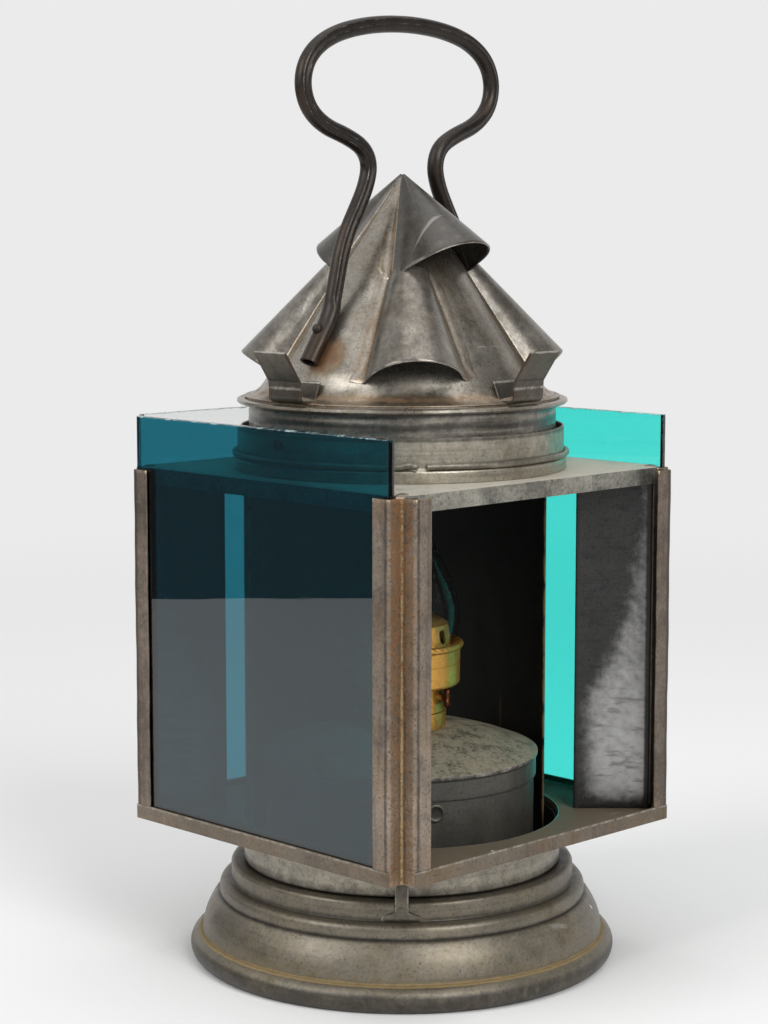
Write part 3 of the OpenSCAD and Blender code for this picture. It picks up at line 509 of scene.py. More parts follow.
@dataclass(frozen=True)
class Finishes:
    """The lamp's finishes, each built once."""

    clip: Coat = coat(Slot.TIN, SheetFinish(
        "clip_tin", linear(94, 88, 80), spread=0.36, rust=linear(72, 46, 28),
        stain=linear(74, 60, 46),
    ))
    collar: Coat = coat(Slot.TIN, SheetFinish(
        "collar_tin", linear(172, 165, 150), streak=0.45, **SPIN_LINES,
        soiled_and_shaded=(
            (36.0, 38.2, 2.5, 0.2), (36.0, 54.0, 3.0, 0.36),
            (200.0, 202.0, 1.0, 0.4), (191.0, 199.5, 3.0, 0.36),
        ),
        rubbed_and_lit=((189.0, 189.5, 0.5, 0.35),),
    ))
    roof: Coat = coat(Slot.TIN, SheetFinish(
        "roof_tin", linear(152, 146, 136), rust=linear(118, 80, 46), stain_share=0.42,
        spread=0.32, smooth=0.2, dull=0.38, metal=0.82, spots=HANDLE_FEET,
        rusted=((210.5, 213.5, 4.0, 0.3),), soiled_and_shaded=((186.0, 209.0, 2.0, 0.16),),
    ))
    base: Coat = coat(Slot.TIN, SheetFinish(
        "base_tin", linear(117, 110, 97), stain=linear(112, 99, 70), rust=linear(164, 142, 100),
        streak=0.4, **SPIN_LINES, spread=0.28, smooth=0.34, metal=0.6, stain_share=0.5,
        patina=0.5, dent=0.0009,
    ))
    plate: Coat = coat(Slot.TIN, SheetFinish(
        "plate_tin", linear(160, 158, 148), spread=0.55, pits=0.7, stain_share=0.3,
        dust=linear(190, 184, 170), soiled_and_shaded=((178.5, 181.0, 2.0, 0.25),),
        rubbed_and_lit=((184.0, 185.1, 0.6, 0.35),),
    ))
    tray: Coat = coat(Slot.TIN, SheetFinish(
        "tray_tin", linear(120, 110, 98), stain_share=0.5, nick=1.0, dust=linear(112, 99, 80),
        # The rubbed bands are painted highlights along the rails' top and lower edges; the soiled
        # band is a thin dark line at the floor's level.
        rubbed_and_lit=((56.5, 57.2, 0.3, 0.5), (51.6, 52.2, 0.3, 0.3)),
        soiled_and_shaded=((54.4, 54.7, 0.6, 0.2),),
    ))
    post: Coat = coat(Slot.TIN, SheetFinish(
        "post_tin", linear(132, 120, 108), stain=linear(142, 112, 76), rust=linear(130, 84, 47),
        bare=linear(192, 172, 132), soil=linear(48, 38, 29), stain_share=0.35, spread=0.45,
        pits=0.8, streak=0.55, streak_way=(1.0, 1.0, 0.05), streak_scale=330.0, metal=0.6,
        nick=1.0, flake=760.0,
    ))
    soot: Coat = coat(Slot.SOOT, SheetFinish(
        "lamp_black", linear(31, 31, 28), stain=linear(44, 40, 34), bare=linear(150, 128, 84),
        metal=0.1, smooth=0.55, dull=0.8, nick=0.12, pits=0.2,
    ))
    # The baffles' light colour stands for rubbed metal and also for painted light on their lower,
    # outer part.
    worn_and_lit: Coat = coat(Slot.SOOT, SheetFinish(
        "worn_and_lit_baffle", linear(52, 52, 51), stain=linear(66, 62, 55), bare=linear(178, 177, 175),
        rub_and_light_soft=0.5, patina=0.2, streak=0.8, streak_way=(0.22, 0.22, 1.0), streak_scale=420.0,
        metal=0.5, smooth=0.34, nick=0.5, pits=0.8,
    ))
    font: Coat = coat(Slot.SOOT, SheetFinish(
        "font_tin", linear(80, 79, 73), stain=linear(90, 82, 66), metal=0.4, smooth=0.34,
        dull=0.55, dust=linear(158, 150, 128), dust_break=(0.3, 0.57),
    ))
    iron: Coat = coat(Slot.IRON, SheetFinish(
        "handle_iron", linear(51, 46, 42), stain=linear(66, 50, 37), rust_share=0.08,
        bare=linear(150, 145, 138), metal=0.75, nick=0.3, dent=0.0003,
    ))
    brass: Coat = coat(Slot.BRASS, SheetFinish(
        "burner_brass", linear(210, 160, 78), stain=linear(150, 116, 52), rust=linear(78, 58, 26),
        bare=linear(236, 212, 150), soil=linear(60, 46, 20), metal=0.8, smooth=0.28, dull=0.48,
        streak=0.25, pits=0.25, nick=0.0, dent=0.0002,
        soiled_and_shaded=((86.5, 93.2, 1.0, 0.2), (102.5, 103.6, 1.0, 0.35)),
    ))
    copper: Coat = coat(Slot.COPPER, SheetFinish(
        "knob_copper", linear(112, 66, 44), stain=linear(84, 50, 30), metal=0.95, smooth=0.26,
        dull=0.42, nick=0.0, dent=0.0001,
    ))
    cotton: Coat = coat(Slot.COTTON, CottonFinish(
        "wick_cotton", linear(206, 194, 164), linear(148, 132, 100), linear(26, 22, 18),
        122.5, 126.0,
    ))
    chimney: Coat = coat(Slot.CHIMNEY, GlassFinish(
        "chimney_glass", (0.975, 0.985, 0.98), film=0.03, ripple=0.0, bend=1.12,
    ))
    blue: Coat = coat(Slot.BLUE, GlassFinish("petrol_glass", (0.014, 0.185, 0.26)))
    green: Coat = coat(Slot.GREEN, GlassFinish("sea_glass", (0.085, 0.93, 0.84)))
    clear: Coat = coat(Slot.CLEAR, GlassFinish("clear_glass", (0.95, 0.975, 0.97)))


def placed(name: str, data: Any) -> bpy.types.Object:
    """Makes an object of the scene, at the origin."""
    made = bpy.data.objects.new(name, data)
    bpy.context.scene.collection.objects.link(made)
    return made


def joined(rows: int, columns: int, wrap_u: bool = False, wrap_v: bool = False) -> np.ndarray:
    """Quads of a grid, which join each point to the next row and the next column.

    Args:
        rows: Rows of points.
        columns: Points in a row.
        wrap_u: Whether the last row joins the first.
        wrap_v: Whether the last column joins the first.

    Returns:
        Four point numbers for each quad.
    """
    index = np.arange(rows * columns).reshape(rows, columns)
    if wrap_u:
        index = np.concatenate([index, index[:1]], axis=0)
    if wrap_v:
        index = np.concatenate([index, index[:, :1]], axis=1)
    corners = (index[:-1, :-1], index[1:, :-1], index[1:, 1:], index[:-1, 1:])
    return np.stack([corner.ravel() for corner in corners], axis=1)


@dataclass
class Surface:
    """Points and quads of one piece, gathered grid by grid."""

    points: list[np.ndarray] = field(default_factory=list)
    quads: list[np.ndarray] = field(default_factory=list)
    marks: dict[str, list] = field(default_factory=lambda: {name: [] for name in MARKS})
    count: int = 0

    def add(
        self, grid: np.ndarray, wrap_u: bool = False, wrap_v: bool = False, **marks: Any
    ) -> Surface:
        """Adds a grid of points.

        Args:
            grid: Points in millimetres, shaped rows by columns by 3.
            wrap_u: Whether the last row joins the first.
            wrap_v: Whether the last column joins the first.
            marks: Rust, bare and soil marks of the points, each an array or one value; the bare
                mark also paints highlights and light, and the soil mark paints shade.

        Returns:
            The surface itself.
        """
        rows, columns = grid.shape[:2]
        self.quads.append(joined(rows, columns, wrap_u, wrap_v) + self.count)
        self.points.append(grid.reshape(-1, 3) * MM)
        for name in MARKS:
            value = np.asarray(marks.get(name, 0.0), float)
            self.marks[name].append(np.broadcast_to(value, (rows, columns)).ravel())
        self.count += rows * columns
        return self

    def piece(
        self, name: str, finish: Coat, body: str, node: str | None, crease: float = 50.0
    ) -> None:
        """Makes the object: doubles merged, faces outwards, smooth up to the crease angle.

        Args:
            name: The piece's name.
            finish: Its finish.
            body: The body that it rides on.
            node: The solid that it replaces, if any.
            crease: Angle in degrees past which an edge is sharp.
        """
        mesh = bpy.data.meshes.new(name)
        mesh.from_pydata(np.concatenate(self.points), [], np.concatenate(self.quads).tolist())
        for key, values in self.marks.items():
            layer = mesh.attributes.new(key, "FLOAT", "POINT")
            layer.data.foreach_set("value", np.concatenate(values).astype(np.float32))
        work = bmesh.new()
        work.from_mesh(mesh)
        bmesh.ops.remove_doubles(work, verts=work.verts, dist=1e-6)
        bmesh.ops.dissolve_degenerate(work, edges=work.edges, dist=1e-7)
        bmesh.ops.recalc_face_normals(work, faces=work.faces)
        work.to_mesh(mesh)
        work.free()
        mesh.shade_smooth()
        mesh.set_sharp_from_angle(angle=math.radians(crease))
        mesh.materials.append(finish.material)
        made = placed(name, mesh)
        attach(made, body)
        if node:
            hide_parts(node)
        LOG.info("piece %s: %d faces", name, len(mesh.polygons))


def ring(grid: np.ndarray, **marks: Any) -> Surface:
    """Surface of one grid that closes on itself both ways."""
    return Surface().add(grid, wrap_u=True, wrap_v=True, **marks)


def dress(finish: Coat, *nodes: str) -> None:
    """Gives solids that stay a finish.

    Args:
        finish: The finish.
        nodes: Names of the solids.
    """
    for name in nodes:
        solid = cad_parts[name]
        solid.data.materials.clear()
        solid.data.materials.append(finish.material)


def turned(grid: np.ndarray, degrees: float) -> np.ndarray:
    """Points turned to the left about the vertical axis, seen from above."""
    cos, sin = math.cos(math.radians(degrees)), math.sin(math.radians(degrees))
    return grid @ np.array([[cos, -sin, 0.0], [sin, cos, 0.0], [0.0, 0.0, 1.0]]).T


def turns(steps: int) -> np.ndarray:
    """Angles of a full turn in equal steps."""
    return np.linspace(0.0, 2.0 * np.pi, steps, endpoint=False)


def wrapped(angle: np.ndarray) -> np.ndarray:
    """Angles brought within half a turn of 0."""
    return np.angle(np.exp(1j * angle))


def eased(value: np.ndarray, low: float, high: float) -> np.ndarray:
    """Smooth step of an array, from 0 at low to 1 at high."""
    share = np.clip((value - low) / (high - low), 0.0, 1.0)
    return share * share * (3.0 - 2.0 * share)


def bell(value: np.ndarray, centre: float, width: float) -> np.ndarray:
    """Bell curve of an array, 1 at its centre."""
    return np.exp(-(((value - centre) / width) ** 2))


def arc(centre: Sequence[float], radii: Sequence[float], angle: np.ndarray) -> np.ndarray:
    """Points of an ellipse at given angles: its centre plus a cosine and a sine."""
    across = centre[0] + radii[0] * np.cos(angle)
    return np.stack([across, centre[1] + radii[1] * np.sin(angle)], axis=1)


def spun(profile: np.ndarray, steps: int = 160) -> np.ndarray:
    """Profile of radius and height carried round the vertical axis.

    Args:
        profile: Points, radius first.
        steps: Stations in a full turn.

    Returns:
        Grid of stations by profile points.
    """
    angle = turns(steps)[:, None]
    radius, height = profile[None, :, 0], profile[None, :, 1]
    return np.stack([radius * np.cos(angle), radius * np.sin(angle), height + 0.0 * angle], axis=-1)


def headings(path: np.ndarray) -> np.ndarray:
    """Unit directions along a path of points."""
    along = np.gradient(path, axis=0)
    return along / np.linalg.norm(along, axis=-1, keepdims=True)


def lefts(along: np.ndarray) -> np.ndarray:
    """Unit directions to the left of plane ones."""
    return np.stack([-along[:, 1], along[:, 0]], axis=1)


def rounded_path(corners: Any, radii: Sequence[float], step: float = 12.0) -> np.ndarray:
    """Plane path with each inner corner rounded to its radius by arcs of a few degrees.

    Args:
        corners: Corner points.
        radii: Bend radius at each corner between the two ends.
        step: Turn between two points of an arc, in degrees.

    Returns:
        The path's points.
    """
    corners = np.asarray(corners, float)
    pieces = [corners[:1]]
    for before, here, after, radius in zip(corners[:-2], corners[1:-1], corners[2:], radii):
        way_in = (here - before) / np.linalg.norm(here - before)
        way_out = (after - here) / np.linalg.norm(after - here)
        turn = math.acos(float(np.clip(way_in @ way_out, -1.0, 1.0)))
        side = np.sign(way_in[0] * way_out[1] - way_in[1] * way_out[0])
        angle = np.linspace(0.0, turn, max(2, math.ceil(math.degrees(turn) / step) + 1))[:, None]
        left = np.array([-way_in[1], way_in[0]]) * side
        start = here - way_in * radius * math.tan(turn / 2.0)
        pieces.append(start + radius * (np.sin(angle) * way_in + (1.0 - np.cos(angle)) * left))
    pieces.append(corners[-1:])
    return np.concatenate(pieces)


def resampled(path: np.ndarray, gap: float) -> np.ndarray:
    """The same path with its points about gap apart, by straight interpolation along its length."""
    length = np.concatenate([[0.0], np.cumsum(np.linalg.norm(np.diff(path, axis=0), axis=1))])
    at = np.linspace(0.0, length[-1], max(2, int(round(length[-1] / gap)) + 1))
    return np.stack([np.interp(at, length, path[:, k]) for k in range(path.shape[1])], axis=1)


def walled(path: np.ndarray, wall: float = SHEET) -> np.ndarray:
    """Loop round a plane path: the path offset by half the wall to each side, with round ends.

    Args:
        path: Points of the middle line.
        wall: Thickness of the sheet.

    Returns:
        The loop, up one side and back down the other.
    """
    along = headings(path)
    left = lefts(along)
    half = wall / 2.0
    turn = np.linspace(0.0, np.pi, 6)[1:-1, None]
    end = path[-1] + half * (np.cos(turn) * left[-1] + np.sin(turn) * along[-1])
    start = path[0] - half * (np.cos(turn) * left[0] + np.sin(turn) * along[0])
    return np.concatenate([path + half * left, end, (path - half * left)[::-1], start])


def folded(path: np.ndarray, along: np.ndarray, bevel: float = 0.2) -> np.ndarray:
    """Folded strip of sheet: a plane path with a wall, carried square to its plane.

    The outline is drawn in by the bevel at both ends, and then closes on the path itself.

    Args:
        path: Points of the strip's middle line.
        along: Stations across the plane, first to last.
        bevel: Width of the broken edge at the ends.

    Returns:
        Grid of stations by outline points, with the plane's two axes first.
    """
    first, last = along[0], along[-1]
    sign = np.sign(last - first) * bevel
    at = np.concatenate([[first, first, first + sign], along[1:-1], [last - sign, last, last]])
    walls = np.full(len(at), SHEET)
    walls[[1, -2]] = SHEET - 2.0 * bevel
    walls[[0, -1]] = 0.0
    loops = np.stack([walled(path, wall) for wall in walls])
    level = np.broadcast_to(at[:, None, None], (*loops.shape[:2], 1))
    return np.concatenate([loops, level], axis=-1)


def swept(section: np.ndarray, path: np.ndarray) -> np.ndarray:
    """Closed section carried along a space path and gathered to a point at both ends.

    The section's first axis is kept as level as the path allows.

    Args:
        section: Loop of points across the path.
        path: Stations in space.

    Returns:
        Grid of stations by section points.
    """
    ahead = headings(path)
    across = np.cross(ahead, np.array([0.0, 0.0, 1.0]))
    across /= np.maximum(np.linalg.norm(across, axis=1, keepdims=True), 1e-6)
    up = np.cross(across, ahead)
    loops = section[None]
    return capped(path[:, None] + loops[..., :1] * across[:, None] + loops[..., 1:] * up[:, None])


def capped(grid: np.ndarray) -> np.ndarray:
    """Open grid of closed loops with both ends gathered to their middle points."""
    first = np.broadcast_to(grid[:1].mean(axis=1, keepdims=True), grid[:1].shape)
    last = np.broadcast_to(grid[-1:].mean(axis=1, keepdims=True), grid[-1:].shape)
    return np.concatenate([first, grid, last])


def bezier(corners: Any, count: int) -> np.ndarray:
    """Cubic Bezier curve of four corners, as count points weighted by the Bernstein terms."""
    share = np.linspace(0.0, 1.0, count)[:, None]
    rest = 1.0 - share
    weights = (rest**3, 3.0 * share * rest**2, 3.0 * share**2 * rest, share**3)
    return sum(weight * point for weight, point in zip(weights, np.asarray(corners, float)))


@dataclass
class SubAssembly:
    """Part of the lamp that makes its own pieces in the lamp's finishes."""

    finishes: Finishes


@dataclass
class CarryHandle(SubAssembly):
    """Handle of rolled tube: a loop, a waist and two feet that lie down the cone.

    The bends of the loop and the knees of a leg are corners of one half, out from the middle and
    up from the roof's tip. A foot lies on the cone at given depths, with its rivet at the second.
    """

    bends: Pairs = (
        (9.0, 54.1), (25.9, 52.0), (39.0, 48.0), (47.9, 41.5), (51.2, 32.7),
        (48.5, 23.7), (40.5, 17.5), (29.0, 13.9), (20.4, 9.7),
    )
    knees: Pairs = (
        (17.4, 3.1), (19.6, -4.8), (24.2, -12.6), (29.1, -20.4), (32.6, -28.7), (34.5, -36.8),
    )
    foot_depths: tuple[float, ...] = (50.0, 58.35, 66.7)
    lean: float = math.radians(1.4)
    tube_r: float = 3.2
    wall: float = 1.0
    slim: float = 0.14
    gap: float = 1.5
    seam_at: float = 0.11 * math.pi
    seam_deep: float = 0.5
    seam_wide: float = 0.2
    foot_len: float = 24.0
    rivet_r: float = 2.0
    rivet_h: float = 1.2
    rivet_sunk: float = 0.7
    shank_r: float = 1.2
    shank_end: float = -0.9

    def lying(self, depth: float) -> tuple[float, float]:
        """Centre of the tube where it lies on the cone, at a depth below the tip."""
        out = depth * math.tan(ROOF_HALF) + self.tube_r / math.cos(ROOF_HALF)
        return out, ROOF_TIP - depth

    def half(self, side: float) -> np.ndarray:
        """Corners of one half of the frame, from the top to the foot: only the loop leans.

        Args:
            side: 1 for the half towards the green side, and -1 for the other.

        Returns:
            The corners, across and up.
        """
        out, up = (np.array(self.bends) * (side, 1.0)).T
        cos, sin = math.cos(self.lean), math.sin(self.lean)
        leaned = np.stack([out * cos - up * sin, ROOF_TIP + out * sin + up * cos], axis=1)
        legs = [(across, ROOF_TIP + rise) for across, rise in self.knees]
        legs += [self.lying(depth) for depth in self.foot_depths]
        return np.concatenate([leaned, np.array(legs) * (side, 1.0)])

    def path(self) -> np.ndarray:
        """Centre line in the plane of the loop: an arc at each corner, between the edges' middles.

        Returns:
            Points of the line, across and up.
        """
        corners = np.concatenate([self.half(-1.0)[::-1], self.half(1.0)])
        middle = (corners[:-1] + corners[1:]) / 2.0
        start = np.concatenate([corners[:1], middle[1:-1]])[:, None]
        end = np.concatenate([middle[1:-1], corners[-1:]])[:, None]
        share = np.linspace(0.0, 1.0, 14, endpoint=False)[None, :, None]
        bend = corners[1:-1, None]
        arcs = (1 - share) ** 2 * start + 2 * share * (1 - share) * bend + share**2 * end
        return resampled(np.concatenate([arcs.reshape(-1, 2), corners[-1:]]), self.gap)

    def build(self) -> None:
        """Makes the tube and its rivets.

        The tube's radius is constant but for a groove where the sheet's edges meet, which ends
        above the feet. Each foot is pressed a little flatter and wider, and its mouth is open.
        """
        flat = self.path()
        angle = turns(36)
        station = np.arange(len(flat))
        end = (np.minimum(station, station[::-1]) * self.gap)[:, None]
        upper = eased(end, self.foot_len - 1.0, self.foot_len + 1.0)
        seam = wrapped(angle - self.seam_at)[None, :]
        groove = bell(seam, 0.0, self.seam_wide) * upper
        outer = self.tube_r - self.seam_deep * groove - self.slim * upper
        inner = np.full_like(outer, self.tube_r - self.wall)
        skins = [self.skin(flat, angle, radius, 1.0 - upper) for radius in (outer, inner)]
        below = bell(wrapped(angle - 1.75 * np.pi)[None, :], 0.0, 1.0)
        # Painted highlight: a lighter strip along the tube's upper side.
        above = bell(wrapped(angle - 0.75 * np.pi)[None, :], 0.0, 0.35)
        edge = bell(np.abs(seam), 1.7 * self.seam_wide, 0.09) * upper
        rust = (1.0 - eased(end, 0.0, 26.0)) * (0.28 + 0.3 * below)
        bare = 0.5 * edge + 0.34 * above
        soil = 0.75 * groove + 0.5 * bell(end, self.foot_len, 0.9)
        tube = ring(
            turned(np.concatenate([skins[0], skins[1][::-1]]), ROOF_TURN),
            rust=np.concatenate([rust, 0.0 * rust]),
            bare=np.concatenate([bare, 0.0 * bare]),
            soil=np.concatenate([soil, np.full_like(soil, 0.9)]),
        )
        tube.piece("handle_tube", self.finishes.iron, "lantern", "handle")
        self.build_rivets()

    def skin(
        self, flat: np.ndarray, angle: np.ndarray, radius: np.ndarray, foot: np.ndarray
    ) -> np.ndarray:
        """Rings square to the centre line, pressed flatter and wider at the feet.

        Args:
            flat: The centre line, across and up.
            angle: Angles round the tube.
            radius: Radius at each station and angle.
            foot: 1 at the stations of a foot, and 0 above it.

        Returns:
            Grid of stations by angles.
        """
        side = radius * np.cos(angle)[None, :] * (1.0 + 0.13 * foot)
        out = radius * np.sin(angle)[None, :] * (1.0 - 0.1 * foot) - 0.3 * foot
        plane = flat[:, None] + out[..., None] * lefts(headings(flat))[:, None]
        return np.concatenate([side[..., None], plane], axis=-1)

    def build_rivets(self) -> None:
        """Makes the domed rivets through the handle's feet.

        A rivet is a profile spun round the normal of the cone: a low dome outside, a shank, and a
        flatter dome inside.
        """
        lift = np.linspace(0.0, np.pi / 2.0, 7)
        face = 2.0 * self.tube_r - self.rivet_sunk
        top = arc((0.0, face), (self.rivet_r, self.rivet_h + self.rivet_sunk), lift)
        low = arc((0.0, self.shank_end), (self.rivet_r, -self.rivet_h), lift)
        shank = [(self.shank_r, self.shank_end), (self.shank_r, face)]
        pin = spun(np.concatenate([low[::-1], shank, top]), 20)
        lean = np.array(Matrix.Rotation(math.pi / 2.0 - ROOF_HALF, 3, "Y"))
        down = self.foot_depths[1]
        pin = pin @ lean.T + (down * math.tan(ROOF_HALF), 0.0, ROOF_TIP - down)
        surface = Surface()
        for side in (Side.GREEN, Side.BLUE):
            surface.add(turned(pin, side.value + ROOF_TURN), wrap_u=True, bare=0.3)
        surface.piece("handle_rivet_pair", self.finishes.iron, "lantern", "handle_rivets", 40.0)


@dataclass
class Wick(SubAssembly):
    """Flat woven wick with a ragged burning end."""

    half_w: float = 5.95
    half_t: float = 1.48
    rib_gap: float = 31.2
    low: float = 34.8
    top: float = 126.0
    end: float = 1.2

    def build(self) -> None:
        """Makes the wick: a rounded flat section carried up, drawn in a little at its top.

        The section is a flattened superellipse. Ribs of the weave run up it as a small ripple
        of its thickness, and the top edge rises and falls with the ribs.
        """
        angle = turns(72)[None, :]
        upper = np.linspace(self.top - 0.9, self.top, 5)
        level = np.concatenate([np.linspace(self.low, self.top - 1.0, 110), upper])
        height = level[:, None]
        share = np.clip((self.top - height) / self.end, 0.0, 1.0)
        draw = 0.82 + 0.18 * np.sqrt(share)
        wide = np.sign(np.cos(angle)) * np.abs(np.cos(angle)) ** 0.35
        thick = np.sign(np.sin(angle)) * np.abs(np.sin(angle)) ** 0.55
        wave = np.cos(wide * self.rib_gap + 0.9 * np.sin(height * 3.1))
        rib = 1.0 - 0.05 * (0.5 + 0.5 * wave)
        x = self.half_w * wide * (1.0 - 0.004 * np.cos(height * 2.0))
        y = self.half_t * thick * rib * draw
        ragged = np.where(share < 1.0, 0.22 * np.sin(wide * 17.0) * (1.0 - share), 0.0)
        grid = np.stack([x, y, height + ragged - 0.25 * (1.0 - share)], axis=-1)
        surface = Surface().add(turned(capped(grid), WICK_TURN), wrap_v=True)
        surface.piece("wick_tape", self.finishes.cotton, "wick", "wick", 40.0)


@dataclass
class Burner(SubAssembly):
    """Brass burner with a roped gallery, its milled knob and the glass chimney.

    The knob's profile is its radii and its reach along the winder from its start.
    """

    cup_r: float = 21.9
    cup_top: float = 114.6
    lip_r: float = 21.0
    hole_r: float = 17.4
    seat_z: float = 118.6
    rope_turns: float = 48.0
    rope_deep: float = 0.16
    knob_start: float = 16.463
    knob_side: float = -6.0
    knob_z: float = 98.9
    knob_radii: tuple[float, ...] = (0.0, 1.6, 1.8, 3.0, 3.35, 3.38, 3.1, 2.5, 1.7, 0.0)
    knob_reach: tuple[float, ...] = (0.0, 0.0, 0.5, 0.6, 0.9, 2.3, 2.7, 3.0, 2.75, 2.6)
    knob_teeth: float = 28.0
    chimney_z: float = 118.9
    chimney_h: float = 72.0
    chimney_wall: float = 0.5
    bulge_z: float = 11.0
    bulge_r: float = 21.8
    tube_z: float = 48.0
    tube_r: float = 9.8

    def build(self) -> None:
        """Makes the roped gallery, the knob, the chimney and the wick, and dresses the rest."""
        self.build_gallery()
        self.build_knob()
        self.build_chimney()
        stem = ("font_neck", "burner_stem", "burner_cup", "burner_crown")
        dress(self.finishes.brass, *stem, "wick_tube", "winder_shaft")
        Wick(self.finishes).build()

    def build_gallery(self) -> None:
        """Makes the gallery: a spun profile whose rim is roped by a slanting wave."""
        seat, top = self.seat_z, self.cup_top
        inside = [(self.hole_r, seat - 1.0), (self.lip_r, seat - 1.0), (self.lip_r - 0.1, top)]
        foot = [(self.cup_r, top), (self.cup_r, top + 0.9), (self.cup_r + 0.3, top + 1.6)]
        bead = np.linspace(-0.5 * np.pi, 0.75 * np.pi, 12)
        rope = arc((self.cup_r + 0.2, seat - 0.6), (0.9, 1.25), bead)
        close = [(self.lip_r, seat + 0.6), (self.lip_r, seat), (self.hole_r, seat)]
        profile = np.concatenate([inside, foot, rope, close])
        grid = spun(profile, 288)
        angle = np.arctan2(grid[..., 1], grid[..., 0])
        roped = np.zeros(len(profile))
        roped[len(inside + foot) : -len(close)] = np.sin(np.linspace(0.0, np.pi, 12)) ** 0.6
        slant = np.cos(self.rope_turns * angle + 2.2 * (grid[..., 2] - seat))
        wave = self.rope_deep * roped[None, :] * slant
        radius = np.hypot(grid[..., 0], grid[..., 1])
        grid[..., :2] *= (1.0 + wave / radius)[..., None]
        surface = ring(grid, bare=np.clip(wave * 4.0, 0.0, 0.6))
        surface.piece("gallery_roped", self.finishes.brass, "burner", "gallery_ring", 45.0)

    def build_knob(self) -> None:
        """Makes the winder's knob: a milled disc with a hollow face, spun round its axis."""
        radii, reach = np.array([self.knob_radii, self.knob_reach])[:, None]
        around = turns(112)[:, None]
        rim = radii > 2.9
        milled = np.where(rim, 0.12, 0.0) * np.cos(self.knob_teeth * around)
        radius = radii + milled - np.where(rim, 0.1, 0.0)
        across = radius * np.cos(around) + self.knob_side
        upward = radius * np.sin(around) + self.knob_z
        disc = np.stack([self.knob_start + reach + 0.0 * around, across, upward], axis=-1)
        bare = np.clip(milled * 4.0, 0.0, 0.4)
        surface = Surface().add(turned(disc, WICK_TURN), wrap_u=True, bare=bare)
        surface.piece("winder_knob_milled", self.finishes.copper, "winder", "winder_knob", 45.0)

    def chimney_radius(self, height: np.ndarray) -> np.ndarray:
        """Outer radius at heights above the foot.

        A parabola leads to the bulge, and half a cosine from there to the tube.

        Args:
            height: Heights above the foot.

        Returns:
            The radii.
        """
        low = self.bulge_r - 1.6 * (1.0 - height / self.bulge_z) ** 2
        share = (height - self.bulge_z) / (self.tube_z - self.bulge_z)
        fall = (self.bulge_r - self.tube_r) * (1.0 + np.cos(np.pi * share)) / 2.0
        upper = np.where(height < self.tube_z, self.tube_r + fall, self.tube_r)
        return np.where(height < self.bulge_z, low, upper)

    def build_chimney(self) -> None:
        """Makes the chimney: a thin spun wall with fire-rounded rims."""
        height = np.linspace(0.0, self.chimney_h, 90)
        half = self.chimney_wall / 2.0
        path = np.stack([self.chimney_radius(height) - half, self.chimney_z + height], axis=1)
        path[[0, -1], 1] += (half, -half)
        surface = ring(spun(walled(path, self.chimney_wall), 128))
        surface.piece("chimney_blown", self.finishes.chimney, "chimney", "chimney", 60.0)


